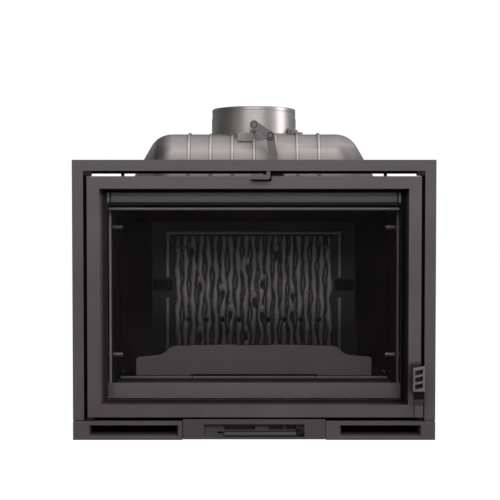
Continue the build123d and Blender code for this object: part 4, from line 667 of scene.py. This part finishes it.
# ---- fireback with its bark relief -----------------------------------------------------------
BARK_PROUD, BARK_SUNK = 5.0 * MM, 4.0 * MM      # ridges above the plate, furrows below it
BARK_HALF, BARK_TOP = 204.0 * MM, 443.0 * MM
RIDGES = 21
PHASE, PHASE_DRIFT, DRIFT_STEP = 2.1, 0.6, 1.9  # neighbouring ridges stay out of step
WIGGLE_STEP, SWELL_STEP, ROLL_STEP = 2.3, 1.7, 0.9
SWAY, SWAY_WAVE = 1.7 * MM, 21 * MM             # the ridges' slow sway
WIGGLE, WIGGLE_WAVE = 0.9 * MM, 8.5 * MM        # and their quick one
RIDGE_HALF, SWELL, RIPPLE = 0.44, 0.08, 0.03    # half width of a ridge, in pitches
SWELL_WAVE, RIPPLE_WAVE = 13 * MM, 5 * MM       # how its half width swells and ripples
CROWN_BROAD, CROWN_ROUND = 2.4, 0.8             # exponents of a ridge's cross-section
RIDGE_HEIGHT, RIDGE_ROLL = 0.78, 0.22           # its height, in shares of BARK_PROUD
ROLL_WAVE = 16 * MM
FURROW = 0.9 * MM                               # half width of the furrows beside a fill
FILL_HEIGHT = 0.6                               # a fill's height, in shares of BARK_PROUD
FILL_LEAST, FILL_FLOOR = 0.5 * MM, 0.3 * MM     # half width of the least fill; never divide by less
# (x, z) of each knot in millimetres
KNOTS = [(-16, 363), (60, 399), (-139, 317), (-80, 297), (2, 277), (99, 294), (-60, 244),
         (22, 241), (99, 244), (22, 323), (-139, 188), (-19, 188), (-159, 405)]
KNOT_R, KNOT_BULGE = 5.0 * MM, 2.6              # radius, and the bulge's spread over it
KNOT_RISE, KNOT_RISE_LONG = 14, 17 * MM         # the bulge: millimetres over a knot, its length
KNOT_DROP, KNOT_DROP_LONG = 6, 11 * MM          # the hollow: millimetres under it, its length
HOLLOW_DEPTH = 6.0 * MM
PARTING, PARTING_EDGE = 4.2 * MM, 3 * MM        # the grain's shift round a knot
PARTING_WIDE, PARTING_LONG = 15 * MM, 24 * MM
BEAD_HALF, BEAD_TOP, BEAD_WIDTH, BEAD_PROUD = 226.0 * MM, 456.0 * MM, 9.0 * MM, 4.0 * MM
BEAD_BREAK = (285.0 * MM, 337.0 * MM)           # the side beads stop for the clamps
AIR_HOLES = [side * (36.8 + i * 43.3) * MM for side in (-1, 1) for i in range(4)]
AIR_HOLE_Z, AIR_HOLE_R, AIR_HOLE_SIDES = 228.0 * MM, 5.5 * MM, 32
BOSS_RIM, BOSS_FADE, BOSS_PROUD = 4.5 * MM, 2 * MM, 1.0 * MM
HOOK_X, HOOK_HALF, HOOK_SLOT = 186.0 * MM, 5.0 * MM, (411.0 * MM, 448.0 * MM)
CUT_PAST = 2 * MM                               # how far the cutter stands out of the plate
GRID_STEP = 1.6 * MM


def flow_round_knots(x, z):
    """Sideways shift of the grain at a place, where it parts round each knot."""
    shift = np.zeros_like(z)
    for knot_x, knot_z in KNOTS:
        off = x - knot_x * MM
        near = np.exp(-(off / PARTING_WIDE) ** 2 - ((z - knot_z * MM) / PARTING_LONG) ** 2)
        shift += PARTING * np.tanh(off / PARTING_EDGE) * near
    return shift


def ridge_over(x, middle, half, height):
    """Height of a ridge that stands in the furrows' floor, with a broad round crown."""
    crown = np.clip(1 - np.abs((x - middle) / half) ** CROWN_BROAD, 0, 1) ** CROWN_ROUND
    return -BARK_SUNK + crown * (BARK_SUNK + BARK_PROUD * height)


def bark_height(x, z):
    """Height of the relief over the plate: ridges that sway, swell and part round knots."""
    bark = np.full(x.shape, -BARK_SUNK)
    pitch = 2 * BARK_HALF / RIDGES
    edge = None
    for i in range(RIDGES):
        phase = PHASE * i + PHASE_DRIFT * math.sin(DRIFT_STEP * i)
        line = -BARK_HALF + pitch * (i + 0.5) + (
            SWAY * np.sin(z / SWAY_WAVE + phase)
            + WIGGLE * np.sin(z / WIGGLE_WAVE + WIGGLE_STEP * phase))
        line = line + flow_round_knots(line, z)
        half = pitch * (RIDGE_HALF + SWELL * np.sin(z / SWELL_WAVE + SWELL_STEP * phase)
                        + RIPPLE * np.sin(z / RIPPLE_WAVE + phase))
        height = RIDGE_HEIGHT + RIDGE_ROLL * np.sin(z / ROLL_WAVE + ROLL_STEP * phase)
        bark = np.maximum(bark, ridge_over(x, line, half, height))
        if edge is not None:
            # a lower ridge fills a wide gap and leaves a furrow on both of its sides
            fill = np.maximum((line - half - edge) / 2 - FURROW, FILL_FLOOR)
            lower = ridge_over(x, (line - half + edge) / 2, fill, FILL_HEIGHT)
            bark = np.where(fill > FILL_LEAST, np.maximum(bark, lower), bark)
        edge = line + half
    for knot_x, knot_z in KNOTS:
        off = ((x - knot_x * MM) / KNOT_R) ** 2
        over = ((z - (knot_z + KNOT_RISE) * MM) / KNOT_RISE_LONG) ** 2
        under = ((z - (knot_z - KNOT_DROP) * MM) / KNOT_DROP_LONG) ** 2
        bulge = np.exp(-off / KNOT_BULGE - over)
        bark = np.maximum(bark, -BARK_SUNK + (BARK_SUNK + BARK_PROUD) * bulge)
        bark -= HOLLOW_DEPTH * np.exp(-off - under)
    return np.clip(bark, -BARK_SUNK, BARK_PROUD)


def bead_height(distance):
    """Height of the round bead at a distance from its middle line."""
    return BEAD_PROUD * np.sqrt(np.clip(1 - (2 * distance / BEAD_WIDTH) ** 2, 0, 1))


def fireback_height(x, z):
    """Height of the front over the plate: bark, bead and a boss round each air hole."""
    height = np.where((np.abs(x) < BARK_HALF) & (z < BARK_TOP), bark_height(x, z), 0.0)
    upright = bead_height(np.abs(np.abs(x) - (BEAD_HALF - BEAD_WIDTH / 2)))
    gap = (z > BEAD_TOP) | ((z > BEAD_BREAK[0]) & (z < BEAD_BREAK[1]))
    cross = bead_height(np.abs(z - (BEAD_TOP - BEAD_WIDTH / 2)))
    height = np.maximum(height, np.where(gap, 0, upright))
    height = np.maximum(height, np.where(np.abs(x) > BEAD_HALF, 0, cross))
    for hole_x in AIR_HOLES:
        reach = np.hypot(x - hole_x, z - AIR_HOLE_Z)
        boss = np.clip((AIR_HOLE_R + BOSS_RIM - reach) / BOSS_FADE, 0, 1)
        height = height * (1 - boss) + BOSS_PROUD * boss
    return height


def new_object(name, verts, faces, material, smooth):
    mesh = bpy.data.meshes.new(name)
    mesh.from_pydata(verts, [], faces)
    mesh.update()
    mesh.polygons.foreach_set("use_smooth", [smooth] * len(mesh.polygons))
    mesh.materials.append(material)
    return place_in_scene(bpy.data.objects.new(name, mesh))


def drill(obj, cutter):
    """Cuts closed forms out of an object and removes the cutter."""
    modifier = obj.modifiers.new("cut", "BOOLEAN")
    modifier.operation = "DIFFERENCE"
    modifier.solver = "EXACT"
    modifier.object = cutter
    graph = bpy.context.evaluated_depsgraph_get()
    mesh = bpy.data.meshes.new_from_object(obj.evaluated_get(graph))
    obj.modifiers.clear()
    obj.data = mesh
    bpy.data.objects.remove(cutter)


def prisms(outlines, start, end):
    """Closed prisms along Y over outlines of (x, z) points, as vertices and faces."""
    verts, faces = [], []
    for outline in outlines:
        first, count = len(verts), len(outline)
        second = first + count
        verts += [(x, y, z) for y in (start, end) for x, z in outline]
        faces += [tuple(range(first, second)), tuple(reversed(range(second, second + count)))]
        for i in range(count):
            after = (i + 1) % count
            faces.append((first + after, first + i, second + i, second + after))
    return verts, faces


def circle(x, z, radius):
    turns = [2 * math.pi * i / AIR_HOLE_SIDES for i in range(AIR_HOLE_SIDES)]
    return [(x + radius * math.cos(a), z + radius * math.sin(a)) for a in turns]


def rectangle(x, half, low, high):
    return [(x - half, low), (x + half, low), (x + half, high), (x - half, high)]


def relief_plate(front, back_y):
    """Vertices and faces of a plate: a grid of front points, flat sides and a flat back."""
    rows, columns = front.shape[:2]
    index = np.arange(rows * columns).reshape(rows, columns)
    corners = (index[:-1, :-1], index[:-1, 1:], index[1:, 1:], index[1:, :-1])
    faces = np.stack(corners, axis=-1).reshape(-1, 4).tolist()
    rim = np.concatenate([index[0, :-1], index[:-1, -1], index[-1, :0:-1], index[:0:-1, 0]])
    points = front.reshape(-1, 3)
    back = points[rim]
    back[:, 1] = back_y
    first, count = len(points), len(rim)
    rim = rim.tolist()
    for i in range(count):
        after = (i + 1) % count
        faces.append([rim[after], rim[i], first + i, first + after])
    faces.append([first + i for i in reversed(range(count))])
    return np.concatenate([points, back]).tolist(), faces


def make_fireback(material):
    """The fireback with its relief, air holes and hook slots, in the place of the CAD plate."""
    low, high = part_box("fireback")
    columns = int(round((high.x - low.x) / GRID_STEP)) + 1
    rows = int(round((high.z - low.z) / GRID_STEP)) + 1
    x, z = np.meshgrid(np.linspace(low.x, high.x, columns), np.linspace(low.z, high.z, rows))
    front = np.stack([x, low.y + BARK_PROUD - fireback_height(x, z), z], axis=-1)
    plate = new_object("fireback_relief", *relief_plate(front, high.y), material, smooth=True)
    outlines = [circle(hole_x, AIR_HOLE_Z, AIR_HOLE_R) for hole_x in AIR_HOLES]
    outlines += [rectangle(side * HOOK_X, HOOK_HALF, *HOOK_SLOT) for side in (-1, 1)]
    cuts = prisms(outlines, low.y - CUT_PAST, high.y + CUT_PAST)
    drill(plate, new_object("cutter", *cuts, material, smooth=False))
    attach(plate, "root")
    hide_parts("fireback")


make_camera()
make_world()
make_floor()
for name, soft_box in LIGHTS.items():
    make_light(name, *soft_box)
MATERIALS = make_materials()
dress_nodes(MATERIALS)
make_fireback(MATERIALS["fireback_iron"])
